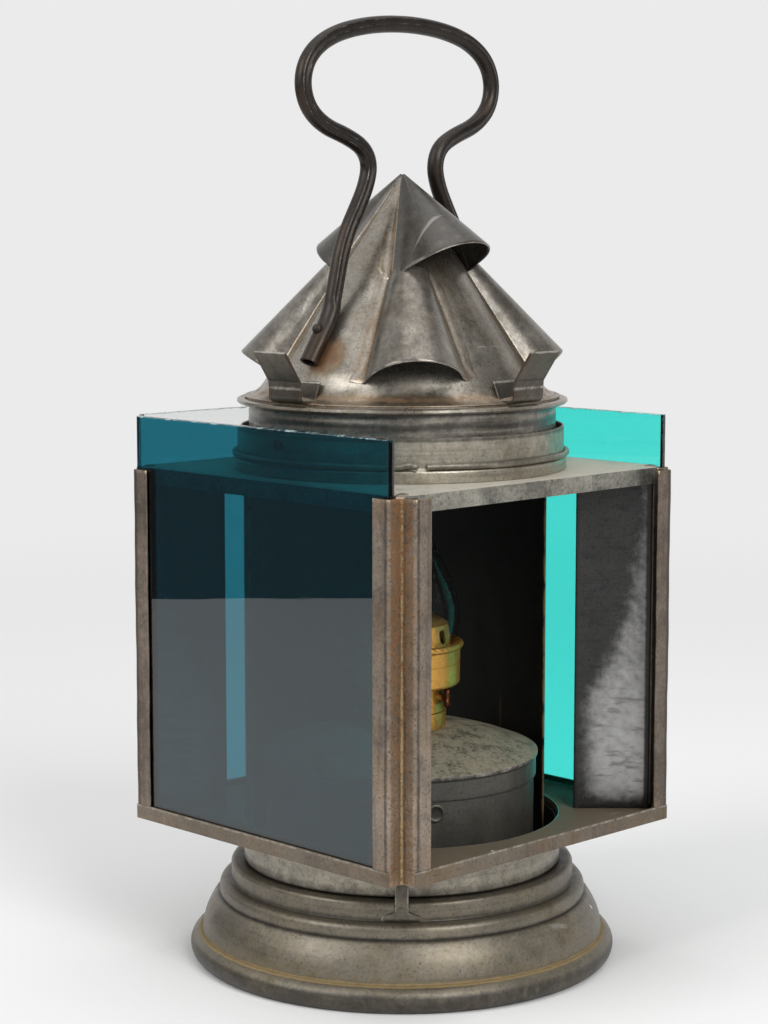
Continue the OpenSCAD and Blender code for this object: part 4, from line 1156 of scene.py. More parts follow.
@dataclass
class SpunBase(SubAssembly):
    """Spun base with its index spring, the font that stands in it and the dark light shield."""

    wall: float = 1.0
    neck_r: float = 58.9
    shoulder: float = 36.7
    ledge_r: float = 64.7
    crease: float = 29.4
    mould_r: float = 69.1
    step: float = 24.0
    bulge_r: float = 53.99
    bulge_z: float = 9.1
    bulge_round: float = 21.8
    bead_r: float = 75.29
    bead_z: float = 4.6
    bead_round: float = 5.0
    front: float = Corner.FRONT.value
    spring_low: float = 30.2
    spring_top: float = 52.9
    spring_half: float = 2.4
    patch_low: float = 29.5
    patch_h: float = 6.4
    patch_thick: float = 1.5
    lid_in: float = 16.7
    lid_rise: float = 8.5
    lid_low: float = 78.1
    lid_r: float = 51.0
    can_r: float = 50.3
    lid_wall: float = 0.75
    plug_out: float = 49.75
    plug_z: float = 64.7
    plug_turn: float = -31.0
    shield_r: float = 57.4
    shield_from: float = 63.0
    shield_to: float = 243.0
    shield_low: float = 20.8
    shield_top: float = 178.0

    def build(self) -> None:
        """Makes the base's pieces and dresses what stays."""
        self.build_shell()
        self.build_spring()
        self.build_lid()
        self.build_plug()
        self.build_shield()
        dress(self.finishes.iron, "foot_wire")
        dress(self.finishes.soot, "base_spigot", "base_floor")
        dress(self.finishes.font, "font_can")

    def build_shell(self) -> None:
        """Makes the spun shell.

        The sheet's middle line runs out over the ledge, down the crease and the moulding, down
        the bulge's arc, and round the bead. Its walls are offset to both sides, and it is carried
        round with shallow dents.
        """
        half = self.wall / 2.0
        low = self.step - half
        arc_r = self.bulge_round - half
        start = math.asin((low - self.bulge_z) / arc_r)
        corners = [
            (self.neck_r, self.shoulder - half),
            (self.ledge_r - half, self.shoulder - half),
            (self.ledge_r - half, self.crease - half),
            (self.mould_r - half, self.crease - half),
            (self.mould_r - half, low),
            (self.bulge_r + arc_r * math.cos(start), low),
        ]
        upper = rounded_path(corners, (1.2, 0.9, 2.3, 0.5), 9.0)
        turn = np.linspace(start, 0.0, 26)[1:]
        bulge = arc((self.bulge_r, self.bulge_z), (arc_r, arc_r), turn)
        bead_r = self.bead_round - half
        roll = np.linspace(0.47 * np.pi, -1.25 * np.pi, 44)
        bead = arc((self.bead_r, self.bead_z), (bead_r, bead_r), roll)
        loop = walled(resampled(np.concatenate([upper, bulge, bead]), 0.7), self.wall)
        loop[:, 1] = np.maximum(loop[:, 1], 0.0)
        grid = spun(loop, 168)
        radius, height = loop[None, :, 0], loop[None, :, 1]
        angle = np.arctan2(grid[..., 1], grid[..., 0])
        dent = 0.14 * np.sin(3.0 * angle + 0.7) + 0.1 * np.sin(7.0 * angle + height * 0.2) - 0.12
        dent = dent * eased(height, 9.0, 16.0) * eased(-height, -24.0, -20.0)
        grid[..., :2] *= (1.0 + dent / radius)[..., None]
        groove = bell(height, self.bulge_z + 0.5, 0.8) * (np.abs(radius - self.bead_r - 0.4) < 1.6)
        rust = 0.8 * groove + 0.34 * bell(height, 12.0, 3.5) * (radius > 72.0)
        collar = 0.75 * bell(radius, 60.2, 1.6) * (height > 35.0)
        ledge = (collar + 0.5 * bell(height, self.crease + 0.5, 0.9)) * (radius < 66.5)
        moulding = 0.62 * bell(height, self.step + 0.1, 0.6) * (radius > 68.0)
        foot = 0.5 * eased(-height, -8.2, -6.0) * (radius > 58.0)
        # Painted highlights: lighter bands along the moulding's edge and round the bulge's upper
        # part, also taken as rubbed metal.
        bare = 0.34 * bell(height, self.crease - 1.6, 1.4) * (radius > 67.0)
        bare = bare + 0.2 * bell(height, 19.0, 3.0)
        surface = ring(grid, rust=rust, bare=bare, soil=ledge + moulding + foot + 0.2)
        surface.piece("base_spun", self.finishes.base, "base", "base_shell")

    def build_spring(self) -> None:
        """Makes the index spring: a folded tongue, and its foot flooded with solder.

        The foot is a patch on the ledge's face whose thickness falls off to its outline, wide at
        the bottom and drawn in to the tongue above.
        """
        face, bent, half = self.ledge_r, self.ledge_r + 2.1, self.spring_half
        low = [(face + 0.5, self.spring_low), (face + 0.8, self.shoulder)]
        corners = low + [(bent, 45.6), (bent, self.spring_top)]
        path = resampled(rounded_path(corners, (6.0, 6.0)), 0.8)
        tongue = folded(path, np.array([-half, -1.7, -1.2, 0.0, 1.2, 1.7, half]))[..., [0, 2, 1]]
        rim = eased(np.abs(tongue[..., 1]), 1.4, 1.9)
        upper = eased(tongue[..., 2], 36.0, 44.0)
        rise = np.linspace(0.0, 1.0, 26)[None, :]
        across = np.linspace(-1.0, 1.0, 37)[:, None]
        side = across * (7.0 - 4.2 * eased(rise, 0.35, 0.75) + 0.5 * np.sin(9.0 * rise))
        height = self.patch_low + self.patch_h * rise - 0.6 * np.abs(across) ** 3
        fall = np.clip(1.0 - (2.0 * rise - 1.0) ** 6, 0.0, 1.0)
        thick = self.patch_thick * np.clip(1.0 - across**4, 0.0, 1.0) * fall
        flat = np.sqrt(np.maximum(face**2 - side**2, 0.0))
        patch = np.stack([flat - 0.12 + thick, side, height], axis=-1)
        under = np.stack([flat - 0.14, side, height], axis=-1)
        edge = eased(np.abs(across), 0.72, 0.98)
        surface = Surface()
        surface.add(
            turned(tongue, self.front),
            wrap_v=True,
            # Painted shade: the tongue's upper part is darker; its rim is rubbed metal and also a
            # painted highlight.
            soil=0.35 + 0.35 * upper,
            bare=0.55 * rim,
            rust=0.3 * (1.0 - upper) * (1.0 - rim),
        )
        surface.add(
            turned(patch, self.front),
            rust=0.25 * edge + 0.35 * (1.0 - eased(rise, 0.0, 0.2)),
            bare=0.6 * edge,
            soil=0.42 * (1.0 - edge),
        )
        surface.add(turned(under, self.front))
        surface.piece("index_spring_soldered", self.finishes.base, "base", "index_spring")

    def build_lid(self) -> None:
        """Makes the font's lid: a spun dome, a rolled rim and the band that laps the can."""
        share = np.linspace(0.0, 1.0, 40)
        low, out, can = self.lid_low, self.lid_r, self.can_r
        rise = low + self.lid_rise * (1.0 - share**1.6)
        dome = np.stack([self.lid_in + (can - self.lid_in) * share, rise], axis=1)
        band = [dome[-1], (out, low), (out, low - 1.2), (can, low - 1.7), (can, low - 8.9)]
        rim = rounded_path(band, (0.5, 0.45, 0.45))
        neck = [(self.lid_in - 3.5, low + self.lid_rise)]
        loop = walled(resampled(np.concatenate([neck, dome, rim[1:]]), 0.8), self.lid_wall)
        radius, height = loop[None, :, 0], loop[None, :, 1]
        bare = 0.5 * bell(radius, 51.3, 0.4) * (height > 76.0) + 0.25 * bell(height, 69.0, 0.5)
        soil = 0.6 * bell(height, 76.2, 0.5) * (radius > 50.0) + 0.5 * bell(radius, 17.0, 1.2)
        surface = ring(spun(loop, 144), bare=bare, soil=soil)
        surface.piece("font_lid_spun", self.finishes.font, "base", "font_lid")

    def build_plug(self) -> None:
        """Makes the font's plug: a shallow cup with a rolled rim, spun round a level axis."""
        rim = arc((2.75, 0.65), (0.55, 0.55), np.linspace(-0.5 * np.pi, 1.1 * np.pi, 10))
        profile = np.concatenate([[(3.2, -0.6)], rim, [(1.8, 0.35), (0.0, 0.3)]])
        cup = spun(profile, 28)[..., [2, 0, 1]] + (self.plug_out, 0.0, self.plug_z)
        soil = np.where(profile[:, 0] < 2.2, 0.8, 0.1)[None, :]
        surface = Surface().add(turned(cup, self.plug_turn), wrap_u=True, soil=soil, bare=0.2)
        surface.piece("font_plug_rolled", self.finishes.font, "base", "font_plug", 40.0)

    def build_shield(self) -> None:
        """Makes the light shield: half a ring of black sheet, its upright edges rubbed bare."""
        angle = np.radians(np.linspace(self.shield_from, self.shield_to, 91))
        path = arc((0.0, 0.0), (self.shield_r, self.shield_r), angle)
        grid = folded(path, np.linspace(self.shield_low, self.shield_top, 24))
        around = np.degrees(np.arctan2(grid[..., 1], grid[..., 0])) % 360.0
        edge = np.minimum(np.abs(around - self.shield_from), np.abs(around - self.shield_to))
        bare = 0.85 * (edge < 0.6) * (0.75 + 0.25 * np.sin(grid[..., 2] * 0.4))
        surface = Surface().add(grid, wrap_v=True, bare=bare)
        surface.piece("light_shield_rolled", self.finishes.soot, "base", "light_shield")


@dataclass
class LanternBox(SubAssembly):
    """Box of the lantern: tray, corner posts, baffles, top plate, collars and sliding panes.

    The border of a baffle's lighter part, partly rubbed metal and partly painted light, is a share
    of its width at each of some heights.
    """

    half: float = 74.0
    notch: float = 6.5
    lip: float = 7.4
    rail_low: float = 51.8
    rail_top: float = 57.1
    tray_z: float = 54.5
    top_z: float = 185.0
    post_top: float = 184.2
    leg_from: tuple[float, float] = (63.0, 69.2)
    leg_to: tuple[float, float] = (66.9, 69.2)
    baffle_in: float = 65.4
    baffle_out: float = 93.8
    light_border: Pairs = (
        (54.5, 0.1), (98.0, 0.1), (112.0, 0.38), (134.0, 0.62), (160.0, 0.78), (180.0, 0.86),
    )
    pane_in: float = 69.9
    pane_half: float = 66.4
    pane_low: float = 54.8
    pane_h: float = 149.2
    ground: Pairs = ((0.4, 0.0), (0.35, 0.0), (0.1, 0.1), (0.0, 0.35))
    pane_t: float = 3.0
    low_collar_r: float = 59.4
    collar_r: float = 60.0
    bead_z: float = 189.9
    wire_r: float = 1.05

    def build(self) -> None:
        """Makes the box's pieces and dresses what stays."""
        for corner in Corner:
            self.build_post(corner)
            self.build_baffle(corner)
        self.build_pane(Side.BLUE, self.finishes.blue)
        self.build_pane(Side.GREEN, self.finishes.green)
        self.build_pane(Side.CLEAR, self.finishes.clear)
        self.build_collars()
        self.build_wire()
        dress(self.finishes.tray, "tray")
        dress(self.finishes.plate, "top_plate")

    @property
    def mid(self) -> float:
        """Middle of the outer sheet, from the lamp's axis."""
        return self.half - SHEET / 2.0

    @property
    def web(self) -> float:
        """Middle of a notch's inner sheet, from the lamp's axis."""
        return self.mid - self.notch

    @property
    def lip_end(self) -> float:
        """Free end of a post's lip, from the lamp's axis."""
        return self.half - self.notch - self.lip

    def build_post(self, corner: Corner) -> None:
        """Makes a corner post: two lips and a square notch folded from one strip, and back legs.

        The strip's middle line lies in plan, with a small round at each fold, and is carried up
        with a slight wave. Below the rail's top only the notch goes on.

        Args:
            corner: The post's corner.
        """
        mid, web, end, turn = self.mid, self.web, self.lip_end, corner.value - 45.0
        strip = [(end, mid), (web, mid), (web, web), (mid, web), (mid, end)]
        lips = rounded_path(strip, (0.8, 0.6, 0.8))
        low = rounded_path([(web, mid - 0.4), (web, web), (mid - 0.4, web)], (0.6,))
        levels = np.linspace(self.rail_top, self.post_top, 72)
        foot = np.linspace(self.rail_low, self.rail_top + 0.2, 8)
        # Painted shade: the left and right posts are made darker all over.
        side_shade = 0.48 if corner in (Corner.LEFT, Corner.RIGHT) else 0.0
        surface = Surface()
        for path, along in ((lips, levels), (low, foot)):
            grid = folded(resampled(path, 0.45), along)
            wave = 0.07 * (1.0 + np.sin(grid[..., 2] * 0.11 + corner.value))
            wave = wave + 0.04 * (1.0 + np.sin(grid[..., 2] * 0.37))
            grid[..., :2] *= (1.0 + wave / 100.0)[..., None]
            surface.add(turned(grid, turn), wrap_v=True, **self.post_marks(grid, side_shade))
        leg = folded(np.linspace(self.leg_from, self.leg_to, 8), levels[[0, 24, 48, -1]])
        for axes in ([0, 1, 2], [1, 0, 2]):
            surface.add(turned(leg[..., axes], turn), wrap_v=True, soil=0.7)
        self.add_solder(surface, turn)
        name = f"post_{corner.name.lower()}"
        surface.piece(f"{name}_folded", self.finishes.post, "lantern", name)

    def post_marks(self, grid: np.ndarray, side_shade: float) -> dict[str, np.ndarray]:
        """Marks of a post: rust in the notch, dark lines beside the folds, rubbed edges that are
        partly painted highlights, and painted shade.

        Args:
            grid: Points of the post.
            side_shade: Painted shade laid all over the post.

        Returns:
            The three marks by name.
        """
        mid, web = self.mid, self.web
        x, y, height = grid[..., 0], grid[..., 1], grid[..., 2]
        inner, outer, lip = np.minimum(x, y), np.maximum(x, y), np.where(x > y, y, x)
        deep = eased(mid - 0.3 - outer, -0.2, 0.8)
        inside = eased(inner, web - 0.35, web + 0.1) * eased(-outer, -mid + 0.05, -mid + 0.9)
        warmer = np.where(x > y, 1.0, 0.75) * (0.36 + 0.3 * eased(height, 70.0, 182.0))
        rust = inside * warmer + 0.1 * (1.0 - eased(height, 60.0, 85.0))
        core = bell(np.hypot(x - web, y - web), 0.5, 0.85)
        line = bell(lip, web - 0.9, 0.7) * (outer > mid)
        fold = bell(lip, web + 0.2, 0.4) * (outer > mid - 0.2)
        free = bell(lip, self.lip_end, 0.4) * (outer > mid - 0.5)
        # The line on each fold is rubbed metal and also a painted highlight.
        bare = 1.05 * core + 0.26 * fold + 0.34 * free + 0.4 * bell(height, self.post_top, 0.8)
        beside = bell(np.hypot(x - web, y - web), 1.9, 0.5) * inside
        broken = 0.85 + 0.15 * np.sin(height * 0.9) * np.sin(height * 0.23 + 1.0)
        soil = 1.05 * line * broken + 0.6 * beside + 0.12 * deep * inside + side_shade
        return {"rust": rust, "bare": bare, "soil": soil}

    def add_solder(self, surface: Surface, turn: float) -> None:
        """Adds the solder that joins a post to the top plate: half an egg with a lumpy skin.

        Args:
            surface: The post's surface.
            turn: The post's turn in degrees.
        """
        around = turns(24)[:, None]
        lift = np.linspace(0.0, np.pi / 2.0, 9)[None, :]
        lump = 1.0 + 0.12 * np.sin(3.0 * around + 1.0) + 0.08 * np.sin(7.0 * around)
        x = self.web - 1.6 + 3.4 * lump * np.cos(lift) * np.cos(around)
        y = self.web - 1.6 + 2.6 * lump * np.cos(lift) * np.sin(around)
        egg = np.stack([x, y, self.post_top - 0.4 + 1.9 * np.sin(lift) + 0.0 * around], axis=-1)
        floor = egg[:, :1] * (1.0, 1.0, 0.0) + (0.0, 0.0, self.post_top - 1.2)
        close = np.broadcast_to(floor.mean(axis=0, keepdims=True), floor.shape)
        whole = np.concatenate([close, floor, egg], axis=1)
        surface.add(turned(whole, turn), wrap_u=True, bare=0.32, rust=0.22)

    def build_baffle(self, corner: Corner) -> None:
        """Makes a baffle: a flat sheet with hemmed uprights, black above and lighter below and
        outwards, partly rubbed and partly painted light.

        Args:
            corner: The baffle's corner.
        """
        path = np.linspace((self.baffle_in, 0.0), (self.baffle_out, 0.0), 64)
        grid = folded(path, np.linspace(self.tray_z, self.top_z - 5.0, 72))
        x, height = grid[..., 0], grid[..., 2]
        hem = bell(x, self.baffle_in + 0.8, 0.9) + bell(x, self.baffle_out - 0.8, 0.9)
        grid[..., 1] *= 1.0 + 0.5 * hem
        share = (x - self.baffle_in) / (self.baffle_out - self.baffle_in)
        light_border = np.interp(height, *np.array(self.light_border).T)
        # Painted light: the sheet is lighter lower down and towards its outer edge, as well as
        # rubbed.
        worn_and_lit = eased(share - light_border, -0.2, 0.3) * eased(-share, -0.95, -0.9)
        worn_and_lit = worn_and_lit * eased(height, 54.0, 62.0)
        low = 0.3 * eased(-height, -130.0, -70.0)
        bare = worn_and_lit * (0.66 + low + 0.05 * np.sin(height * 1.3 + x))
        surface = Surface().add(turned(grid, corner.value), wrap_v=True, bare=bare, soil=0.6 * hem)
        name = f"baffle_{corner.name.lower()}"
        surface.piece(f"{name}_sheet", self.finishes.worn_and_lit, "lantern", name)

    def build_pane(self, side: Side, finish: Coat) -> None:
        """Makes a pane: a rectangle with ground, slightly chipped edges.

        Rings of the outline run from the middle of one face, over the ground edge, to the middle
        of the other. A ring is the outline drawn in by an inset at a depth through the glass.

        Args:
            side: The side that the pane is on.
            finish: Its glass.
        """
        corners = np.array([(-1.0, -1.0), (1.0, -1.0), (1.0, 1.0), (-1.0, 1.0), (-1.0, -1.0)])
        ends = zip(corners[:-1], corners[1:], (60, 66, 60, 66))
        unit = np.concatenate([np.linspace(*pair, count, endpoint=False) for *pair, count in ends])
        half = np.array([self.pane_half, self.pane_h / 2.0])
        face = np.array([(self.pane_half, 0.0), (30.0, 0.0), *self.ground])
        inset = np.concatenate([face[:, 0], face[::-1, 0]])
        depth = np.concatenate([face[:, 1], self.pane_t - face[::-1, 1]])
        flat = unit[None] * np.maximum(half[None, None, :] - inset[:, None, None], 0.0)
        ripple = np.sin(unit[:, 0] * 9.7 + 2.0) * np.sin(unit[:, 0] * 41.0)
        chip = np.clip(ripple * np.sin(unit[:, 1] * 57.0 + 1.3) - 0.6, 0.0, 1.0)[None, :]
        edge = (inset < 0.38).astype(float)[:, None]
        flat = flat * (1.0 - 0.006 * edge * chip)[..., None]
        across, upward = flat[..., 0], self.pane_low + half[1] + flat[..., 1]
        grid = np.stack([self.pane_in + depth[:, None] + 0.0 * across, across, upward], axis=-1)
        bare = edge * np.where(unit[:, 1] > 0.97, 0.52, 0.34)[None, :] + 0.5 * edge * chip
        bare = np.clip(bare, 0.0, 1.0)
        label = side.name.lower()
        surface = Surface().add(turned(grid, side.value), wrap_v=True, bare=bare)
        surface.piece(f"pane_{label}_ground", finish, f"{label}_pane", f"pane_{label}", 25.0)

    def build_collars(self) -> None:
        """Makes the lower collar and the top collar, each a spun sheet with broken edges."""
        low = [(self.low_collar_r, 37.4), (self.low_collar_r, 54.1)]
        loop = walled(resampled(np.array(low), 0.8))
        loop[:, 0] += 0.05 * np.sin(loop[:, 1] * 1.9)
        finish = self.finishes.collar
        ring(spun(loop)).piece("lower_collar_spun", finish, "lantern", "lower_collar")
        out, low, top = self.collar_r, self.top_z, self.top_z + 16.0
        inside = [(out, top), (out - SHEET, top), (out - SHEET, low), (out + 0.5, low)]
        bead = [(out + 0.5, low), (out + 1.0, low), (out + 1.0, self.bead_z - 0.6)]
        corners = [*bead, (out, self.bead_z), *inside]
        loop = resampled(rounded_path(corners, (0.15, 0.6, 0.4, 0.3, 0.3, 0.15)), 0.6)[:-1]
        ring(spun(loop)).piece("top_collar_spun", finish, "lantern", "top_collar")

    def build_wire(self) -> None:
        """Makes the wire round the top collar: a circle with a small hook by the front corner."""
        front = Corner.FRONT.value
        angle = np.radians(np.linspace(front + 8.0, front + 365.0, 200))
        share = np.linspace(0.0, 1.0, 200)
        tail = np.clip((share - 0.985) / 0.015, 0.0, 1.0)
        head = np.clip((0.012 - share) / 0.012, 0.0, 1.0)
        radius = self.collar_r + self.wire_r + 1.5 * tail**2 + 0.5 * head**2
        height = self.bead_z + self.wire_r + 0.7 * np.sin(np.pi * tail) + 0.1 * np.sin(9.0 * angle)
        path = np.stack([radius * np.cos(angle), radius * np.sin(angle), height], axis=1)
        section = arc((0.0, 0.0), (self.wire_r, self.wire_r), turns(14))
        surface = Surface().add(swept(section, path), wrap_v=True, bare=0.12, soil=0.2)
        surface.piece("collar_wire_hooked", self.finishes.collar, "lantern", "collar_wire")


@dataclass
class VentHood(SubAssembly):
    """One vent hood: a sheet cone soldered on the roof along two seams.

    The hood's apex is a distance down the roof's slope, its axis sinks from the slope by an
    angle, and the rim lies at a length from the apex. A cut is the distance from the roof's tip
    above which the hood is left out.
    """

    node: str
    direction: float
    apex_down: float
    apex_up: float
    half: float
    sink: float
    length: float
    cut: float
    drop: float
    wing: float
    grime: float
    rows: int = 44

    def generator(self, turn: np.ndarray) -> np.ndarray:
        """Direction from the apex along the hood's sheet, at a turn from its outermost line."""
        return math.cos(self.half) * self.axis + math.sin(self.half) * self.outward(turn)

    def outward(self, turn: np.ndarray) -> np.ndarray:
        """Direction square to the hood's axis at a turn from its outermost line."""
        out = np.array([-self.axis[2], 0.0, self.axis[0]])
        return np.cos(turn)[..., None] * out + np.sin(turn)[..., None] * np.array([0.0, 1.0, 0.0])

    @property
    def axis(self) -> np.ndarray:
        """The hood's axis, down along the roof."""
        lean = ROOF_HALF - self.sink
        return np.array([math.sin(lean), 0.0, -math.cos(lean)])

    @property
    def apex(self) -> np.ndarray:
        """The hood's tip."""
        out, down = self.apex_down * math.sin(ROOF_HALF), self.apex_down * math.cos(ROOF_HALF)
        return np.array([out, 0.0, ROOF_TIP + self.apex_up - down])

    def seam(self, reach: np.ndarray) -> np.ndarray:
        """Turn at which the sheet meets the roof, by halving the interval.

        Args:
            reach: Distances from the apex.

        Returns:
            The turn at each reach.
        """
        low, high = np.zeros_like(reach), np.full_like(reach, np.pi)
        for _ in range(30):
            mid = (low + high) / 2.0
            x, y, z = np.moveaxis(self.apex + reach[..., None] * self.generator(mid), -1, 0)
            over = np.hypot(x, y) > (ROOF_TIP - z) * math.tan(ROOF_HALF)
            low, high = np.where(over, mid, low), np.where(over, high, mid)
        return low

    def reach(self, share: np.ndarray, turn: np.ndarray, limit: np.ndarray) -> np.ndarray:
        """Distance from the apex at a share of the way from the cut to the rim.

        Args:
            share: Shares of the way.
            turn: Turns from the outermost line.
            limit: Turns of the seams.

        Returns:
            The distances.
        """
        offset = self.apex - np.array([0.0, 0.0, ROOF_TIP + 0.8])
        ahead = self.generator(turn) @ offset
        first = np.sqrt(np.maximum(ahead**2 - offset @ offset + self.cut**2, 0.04)) - ahead
        last = self.length + self.drop * eased(-turn / limit, 0.1, 1.0)
        return first + (last - first) * share

    def settle(self, share: np.ndarray, part: np.ndarray) -> tuple[np.ndarray, np.ndarray]:
        """Turns at parts of the way to the seams, in a few rounds as the reach depends on them.

        Args:
            share: Shares of the way from the cut to the rim.
            part: Parts of the way round to a seam.

        Returns:
            The turns, and the turns of the seams.
        """
        limit = np.full(np.broadcast_shapes(share.shape, part.shape), 1.7)
        for _ in range(5):
            limit = self.seam(self.reach(share, part * limit, limit))
        return part * limit, limit

    def on_roof(self, foot: np.ndarray, way: np.ndarray, lift: Any) -> np.ndarray:
        """Points on the roof beside a seam.

        Args:
            foot: Points of the seam.
            way: Ways round the roof from the seam.
            lift: Heights off its sheet.

        Returns:
            The points.
        """
        radius = np.hypot(foot[..., 0], foot[..., 1])
        angle = np.arctan2(foot[..., 1], foot[..., 0]) + way / np.maximum(radius, 2.0)
        level = (ROOF_TIP - foot[..., 2]) * math.tan(ROOF_HALF) + lift * math.cos(ROOF_HALF)
        height = foot[..., 2] + lift * math.sin(ROOF_HALF) + 0.0 * angle
        return np.stack([level * np.cos(angle), level * np.sin(angle), height], axis=-1)

    def flange(self, share: np.ndarray, start: np.ndarray, sign: float) -> tuple[np.ndarray, ...]:
        """Fillet of solder past one seam, by a quadratic arc that feathers out on the roof.

        Args:
            share: Shares of the way from the cut to the rim.
            start: The sheet's last points before the seam.
            sign: -1 or 1 for the seam's side.

        Returns:
            The upper skin, the lower skin and the stain, in order from the first side.
        """
        last, limit = self.settle(share, np.full((1, 1), sign))
        foot = self.apex + self.reach(share, last, limit)[..., None] * self.generator(last)
        near_rim = eased(share, 0.86, 1.0)
        wing = 0.9 + 1.1 * eased(share, 0.0, 0.6) + self.wing * near_rim
        out = np.linspace(0.0, 1.0, 7)[None, 1:]
        spread = wing + np.array([[1.2, 2.6, 4.2]]) * (1.0 - 0.85 * near_rim)
        part, ground = out[..., None], self.on_roof(foot, sign * wing, 0.14)
        fillet = (1.0 - part) ** 2 * start + 2.0 * part * (1.0 - part) * foot + part**2 * ground
        apron = self.on_roof(foot, sign * spread, np.array([[0.12, 0.1, -0.12]]))
        sunk = self.on_roof(foot, sign * wing * out, -0.4)
        below = self.on_roof(foot, sign * spread, np.array([[-0.4, -0.4, -0.12]]))
        stain = np.concatenate([bell(out, 0.5, 0.45), [[0.75, 0.5, 0.0]]], axis=1) + 0.0 * share
        order = slice(None, None, -1) if sign < 0 else slice(None)
        skins = [np.concatenate(pair, axis=1) for pair in ((fillet, apron), (sunk, below))]
        return tuple(each[:, order] for each in (*skins, stain))

    def build(self) -> None:
        """Makes the hood: the sheet between its seams, and a stained fillet of solder along each.

        The outer skin is a grid of shares down the hood and turns round it. The inner skin lies a
        sheet's thickness inside, and both meet in a round rim.
        """
        share = np.linspace(0.0, 1.0, self.rows)[:, None]
        turn, edge = self.settle(share, np.linspace(-0.95, 0.95, 45)[None, :])
        skin = self.apex + self.reach(share, turn, edge)[..., None] * self.generator(turn)
        normal = math.cos(self.half) * self.outward(turn) - math.sin(self.half) * self.axis
        sheet = (skin, skin - SHEET * normal, np.zeros(turn.shape))
        sides = self.flange(share, skin[:, :1], -1.0), self.flange(share, skin[:, -1:], 1.0)
        blocks = zip(sides[0], sheet, sides[1])
        outer, under, stain = (np.concatenate(block, axis=1) for block in blocks)
        ahead = headings(outer[-2:])[-1:]
        thick = np.linalg.norm(outer[-1:] - under[-1:], axis=-1, keepdims=True)
        lip = (outer[-1:] + under[-1:]) / 2.0 + 0.4 * thick * ahead
        grid = np.concatenate([outer, lip, under[::-1]])
        rust = np.concatenate([0.58 * stain, 0.3 * stain[-1:], 0.0 * stain])
        rim = bell(share, 1.0, 0.02) + 0.0 * stain
        bare = np.concatenate([0.4 * rim, 0.0 * rim[:1] + 0.5, 0.0 * rim])
        plain = np.where(stain[:1] > 0.0, 0.0, 1.0) + 0.0 * rim
        soil = np.concatenate([self.grime * plain, 0.0 * rim[:1] + 0.3, 0.95 * plain])
        placed_grid = turned(grid, self.direction)
        surface = Surface().add(placed_grid, wrap_u=True, rust=rust, bare=bare, soil=soil)
        surface.piece(f"{self.node}_sheet", self.finishes.roof, "lantern", self.node, 60.0)


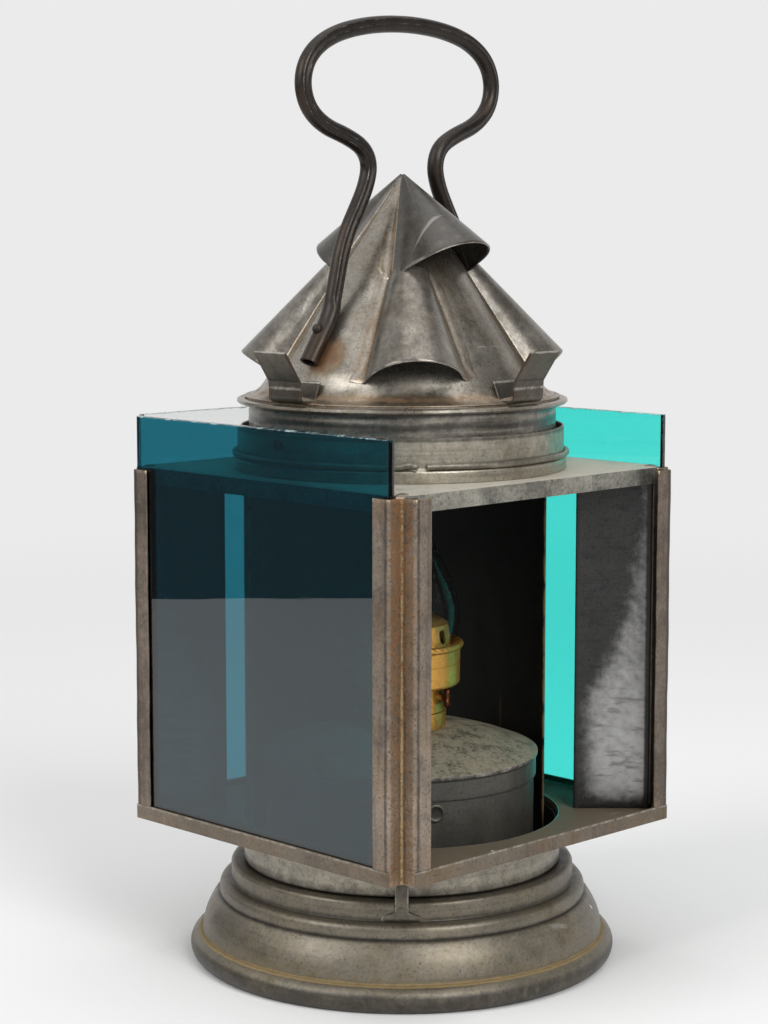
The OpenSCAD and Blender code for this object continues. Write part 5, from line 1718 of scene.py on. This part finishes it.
@dataclass
class Roof(SubAssembly):
    """Cone roof with its skirt, vent hoods and pane clips."""

    flange_z: float = 211.8
    front_turn: float = 3.3
    skirt_r: float = 56.6
    skirt_low: float = 185.4
    brim_z: float = 210.6
    brim_r: float = 60.4
    foot_from: tuple[float, float] = (41.68, 231.0)
    foot_curve: Pairs = ((47.66, 222.5), (49.8, 219.4), (51.6, 212.4), (58.2, 211.75))
    foot_wall: float = 0.5
    cone_foot: float = 53.2
    clip_half: float = 8.0
    clip_top_r: float = 68.2
    clip_leg: float = 7.6

    def build(self) -> None:
        """Makes the roof's pieces and dresses what stays."""
        dress(self.finishes.roof, "roof_cone")
        dress(self.finishes.iron, "roof_rivets")
        self.build_skirt()
        self.build_foot()
        for side in Side:
            self.build_clip(side)
        self.build_hoods()

    def build_hoods(self) -> None:
        """Makes the two upper hoods, and a lower one at each corner."""
        upper = {"apex_down": 0.0, "apex_up": 0.8, "wing": 0.0, "grime": 0.86}
        upper |= {"half": math.radians(28.5), "sink": math.radians(7.9)}
        upper |= {"length": 43.4, "cut": 1.2}
        for label, turn, drop in (("right", 0.0, 3.0), ("left", 180.0, 1.0)):
            name = f"upper_hood_{label}"
            VentHood(self.finishes, name, ROOF_TURN + turn, drop=drop, **upper).build()
        lower = {"apex_down": 16.0, "apex_up": 0.0, "wing": 3.0, "grime": 0.54, "drop": 0.8}
        lower |= {"half": math.radians(14.4), "sink": math.radians(4.1)}
        lower |= {"length": 72.0, "cut": 43.9}
        for corner in Corner:
            askew = self.front_turn if corner is Corner.FRONT else 0.0
            name = f"lower_hood_{corner.name.lower()}"
            VentHood(self.finishes, name, ROOF_TURN + corner.value + askew, **lower).build()

    def build_skirt(self) -> None:
        """Makes the skirt and its brim: a spun sheet turned out at the top, curled at the edge."""
        curl = np.linspace(0.5 * np.pi, -0.75 * np.pi, 14)
        roll = arc((self.brim_r + 0.05, self.brim_z - 0.55), (0.55, 0.55), curl)
        low, bend = (self.skirt_r, self.skirt_low), (self.skirt_r, self.brim_z)
        upright = rounded_path([low, bend, (self.brim_r, self.brim_z)], (0.8,))
        loop = walled(resampled(np.concatenate([upright, roll[1:]]), 0.55))
        radius, height = loop[None, :, 0], loop[None, :, 1]
        grid = spun(loop, 168)
        angle = np.arctan2(grid[..., 1], grid[..., 0])
        lines = 0.07 * np.sin(height * 2.3) * (radius < 58.0)
        grid[..., :2] *= (1.0 + lines / radius)[..., None]
        wave = 0.5 + 0.5 * np.sin(height * 1.3 + 0.6 * np.sin(5.0 * angle))
        # The skirt is darker all over with level streaks, and darker still just under the brim as
        # painted shade.
        soil = 0.25 + 0.5 * wave * (radius < 58.5)
        soil = soil + 0.5 * bell(height, 209.8, 1.0) * (radius < 59.5)
        bare, rust = 0.36 * (radius > 60.6), 0.16 * (height > 210.7)
        surface = ring(grid, soil=soil, bare=bare, rust=rust)
        surface.piece("roof_skirt_spun", self.finishes.roof, "lantern", "roof_skirt")

    def build_foot(self) -> None:
        """Makes the flare at the cone's foot: a line off the cone, then a cubic to the brim."""
        path = np.concatenate([[self.foot_from], bezier(self.foot_curve, 34)])
        loop = walled(resampled(path, 0.6), self.foot_wall)
        radius = loop[None, :, 0]
        rust = 0.3 * bell(radius, 54.0, 3.0) + 0.16 * (radius > 56.0)
        surface = ring(spun(loop, 168), rust=rust)
        surface.piece("roof_foot_flare", self.finishes.roof, "lantern", None)

    def build_clip(self, side: Side) -> None:
        """Makes a pane clip: a strip folded along the cone's foot, the brim and a flared upright.

        Args:
            side: The side that the clip is on.
        """
        mid, half = self.flange_z + SHEET / 2.0, self.clip_half
        slope = math.atan2(4.9, 10.0)
        low_r = self.cone_foot + SHEET / 2.0 / math.cos(slope) + 0.4
        leg = (-self.clip_leg * math.sin(slope) + 0.5, self.clip_leg * math.cos(slope))
        corners = [
            (low_r + leg[0], mid + leg[1]),
            (low_r, mid),
            (low_r + 6.6, mid),
            (low_r + 7.0, mid + 7.4),
            (self.clip_top_r, mid + 17.8),
        ]
        path = resampled(rounded_path(corners, (2.4, 2.2, 0.5), 9.0), 0.4)
        grid = folded(path, np.linspace(-half, half, 18), 0.18)
        radial, level, across = np.moveaxis(grid, -1, 0)
        bow = 0.12 * np.cos(across / half * 1.5) * eased(level, mid + 8.0, mid + 18.0)
        strip = np.stack([radial + bow, across, level], axis=-1)
        ends = eased(np.abs(across), half - 0.9, half - 0.1)
        crease = bell(level, mid + 7.8, 0.8) * (radial > low_r + 4.0)
        top = bell(level, mid + 18.0, 0.6) * (radial > 64.0)
        top = top + bell(level, mid + 6.8, 0.6) * (radial < low_r)
        # Painted highlight: a glossy band across the clip's lower upright.
        shine = bell(level, mid + 5.0, 1.1) * (radial > low_r + 4.0)
        flare = bell(level, mid + 15.0, 3.0) * (radial > low_r + 6.0)
        surface = Surface().add(
            turned(strip, side.value + ROOF_TURN),
            wrap_v=True,
            rust=0.52 * ends + 0.34 * flare + 0.22 * crease,
            bare=0.7 * top + 0.6 * shine,
            soil=0.75 * crease + 0.45 * ends,
        )
        name = f"clip_{side.name.lower()}"
        surface.piece(f"{name}_folded", self.finishes.clip, "lantern", name)


@dataclass
class Studio:
    """Pale floor, soft lights, white surroundings and the camera at the photograph's place.

    A dark card is a direction in degrees, a distance, half its width, and its low and high edge.
    A light is a place, a side and a power in watts. The studio's lengths are in metres.
    """

    white: float = 0.83
    room: float = 0.42
    floor_r: float = 5.0
    floor_tone: Colour = (0.86, 0.86, 0.86)
    card_tone: Colour = (0.085, 0.085, 0.085)
    camera_at: Colour = (0.6275, -0.6275, 0.2793)
    pitch: float = 7.17
    yaw: float = 0.437
    lens: float = 84.11
    sensor: float = 36.0
    middle: Colour = (0.0, 0.0, 0.17)
    cards: dict[str, tuple[float, ...]] = field(default_factory=lambda: {
        "card_blue": (225.0, 0.93, 1.0, 0.0, 0.3),
        "card_window": (25.0, 1.2, 0.5, 0.0, 0.42),
        "card_roof": (52.0, 1.3, 0.75, 0.7, 1.9),
        "card_front": (Corner.FRONT.value, 1.5, 0.4, 0.3, 1.0),
    })
    lights: dict[str, tuple[Colour, float, float]] = field(default_factory=lambda: {
        "key": ((-0.42, -2.4, 1.85), 1.6, 33.0),
        "fill": ((2.0, -0.5, 1.45), 1.2, 30.0),
        "above": ((0.1, 0.1, 2.4), 2.0, 18.0),
    })

    def build(self) -> None:
        """Makes the camera, the floor, the dark cards, the world and the lights."""
        self.build_camera()
        self.build_floor()
        self.build_cards()
        self.build_world()
        self.build_lights()

    def build_camera(self) -> None:
        """Places the camera: it looks past the lamp's axis by the yaw and down by the pitch."""
        data = bpy.data.cameras.new("photo_camera")
        data.lens = self.lens
        data.sensor_width = self.sensor
        camera = placed("photo_camera", data)
        heading = math.atan2(-self.camera_at[1], -self.camera_at[0]) + math.radians(self.yaw)
        down = math.radians(self.pitch)
        level = math.cos(down)
        ahead = (math.cos(heading) * level, math.sin(heading) * level, -math.sin(down))
        self.aim(camera, self.camera_at, Vector(ahead))
        bpy.context.scene.camera = camera

    def aim(self, made: bpy.types.Object, at: Colour, ahead: Vector) -> None:
        """Puts a camera or a light at a place, looking ahead."""
        made.location = at
        made.rotation_euler = ahead.to_track_quat("-Z", "Y").to_euler()

    def staged(self, name: str, grid: np.ndarray, material: bpy.types.Material) -> bpy.types.Object:
        """Makes an object of the studio.

        Args:
            name: The object's name.
            grid: Rows by columns of points in metres.
            material: Its finish.

        Returns:
            The object.
        """
        mesh = bpy.data.meshes.new(name)
        mesh.from_pydata(grid.reshape(-1, 3), [], joined(*grid.shape[:2]).tolist())
        mesh.materials.append(material)
        made = placed(name, mesh)
        return made

    def build_floor(self) -> None:
        """Makes a round pale floor that turns into plain white far from the lamp."""
        near, far = np.linspace(0.0, 0.5, 12), np.linspace(0.6, self.floor_r, 30)
        radius = np.concatenate([near, far])[:, None]
        angle = np.linspace(0.0, 2.0 * np.pi, 97)[None, :]
        flat = [radius * np.cos(angle), radius * np.sin(angle), 0.0 * radius * angle]
        graph = Graph.material("pale_floor")
        relief = graph.bump(graph.noise(260.0, 6.0, 0.7), 0.25, 0.0006)
        matte = graph.level("BsdfDiffuse", {"Color": self.floor_tone, "Normal": relief})
        glow = graph.level("Emission", {"Color": WHITE, "Strength": self.white})
        away = graph.level("VectorMath", {0: graph.place}, "Value", operation="LENGTH")
        blend = graph.node("MixShader", {0: graph.ease(away, 0.3, 1.3), 1: matte, 2: glow})
        self.staged("pale_floor", np.stack(flat, axis=-1), graph.end(blend))

    def build_cards(self) -> None:
        """Stands the dark cards round the lamp, where only gloss shows them."""
        graph = Graph.material("dark_card")
        dark = graph.end(graph.node("BsdfDiffuse", {"Color": self.card_tone}))
        across, up = np.meshgrid(np.linspace(-1.0, 1.0, 9), np.linspace(0.0, 1.0, 4), indexing="ij")
        for name, (degrees, far, half, low, top) in self.cards.items():
            flat = np.stack([far + 0.0 * up, half * across, low + (top - low) * up], axis=-1)
            card = self.staged(name, turned(flat, degrees), dark)
            card.visible_camera = False
            card.visible_diffuse = False
            card.visible_transmission = False
            card.visible_shadow = False

    def build_world(self) -> None:
        """Makes white surroundings for the eye, for gloss and for glass, and a grey room else."""
        world = bpy.data.worlds.new("studio")
        bpy.context.scene.world = world
        graph = Graph(world, "OutputWorld")
        path = graph.node("LightPath").outputs
        shown = graph.maths("MAXIMUM", path["Is Camera Ray"], path["Is Glossy Ray"])
        shown = graph.maths("MAXIMUM", shown, path["Is Transmission Ray"])
        grey, white = (
            graph.level("Background", {"Color": WHITE, "Strength": strength})
            for strength in (self.room, self.white)
        )
        graph.end(graph.node("MixShader", {0: shown, 1: grey, 2: white}))

    def build_lights(self) -> None:
        """Hangs a key on the left, a fill that reaches into the window, and a light above."""
        for name, (at, size, power) in self.lights.items():
            data = bpy.data.lights.new(name, "AREA")
            data.shape = "SQUARE"
            data.size = size
            data.energy = power
            self.aim(placed(name, data), at, Vector(self.middle) - Vector(at))


def main() -> None:
    """Builds the studio and the lamp's sub-assemblies in order."""
    logging.basicConfig(level=logging.INFO, format="%(name)s: %(message)s")
    bpy.context.scene.view_settings.view_transform = "Standard"
    Studio().build()
    finishes = Finishes()
    for part in (SpunBase, Burner, LanternBox, Roof, CarryHandle):
        part(finishes).build()


if __name__ == "__main__":
    main()
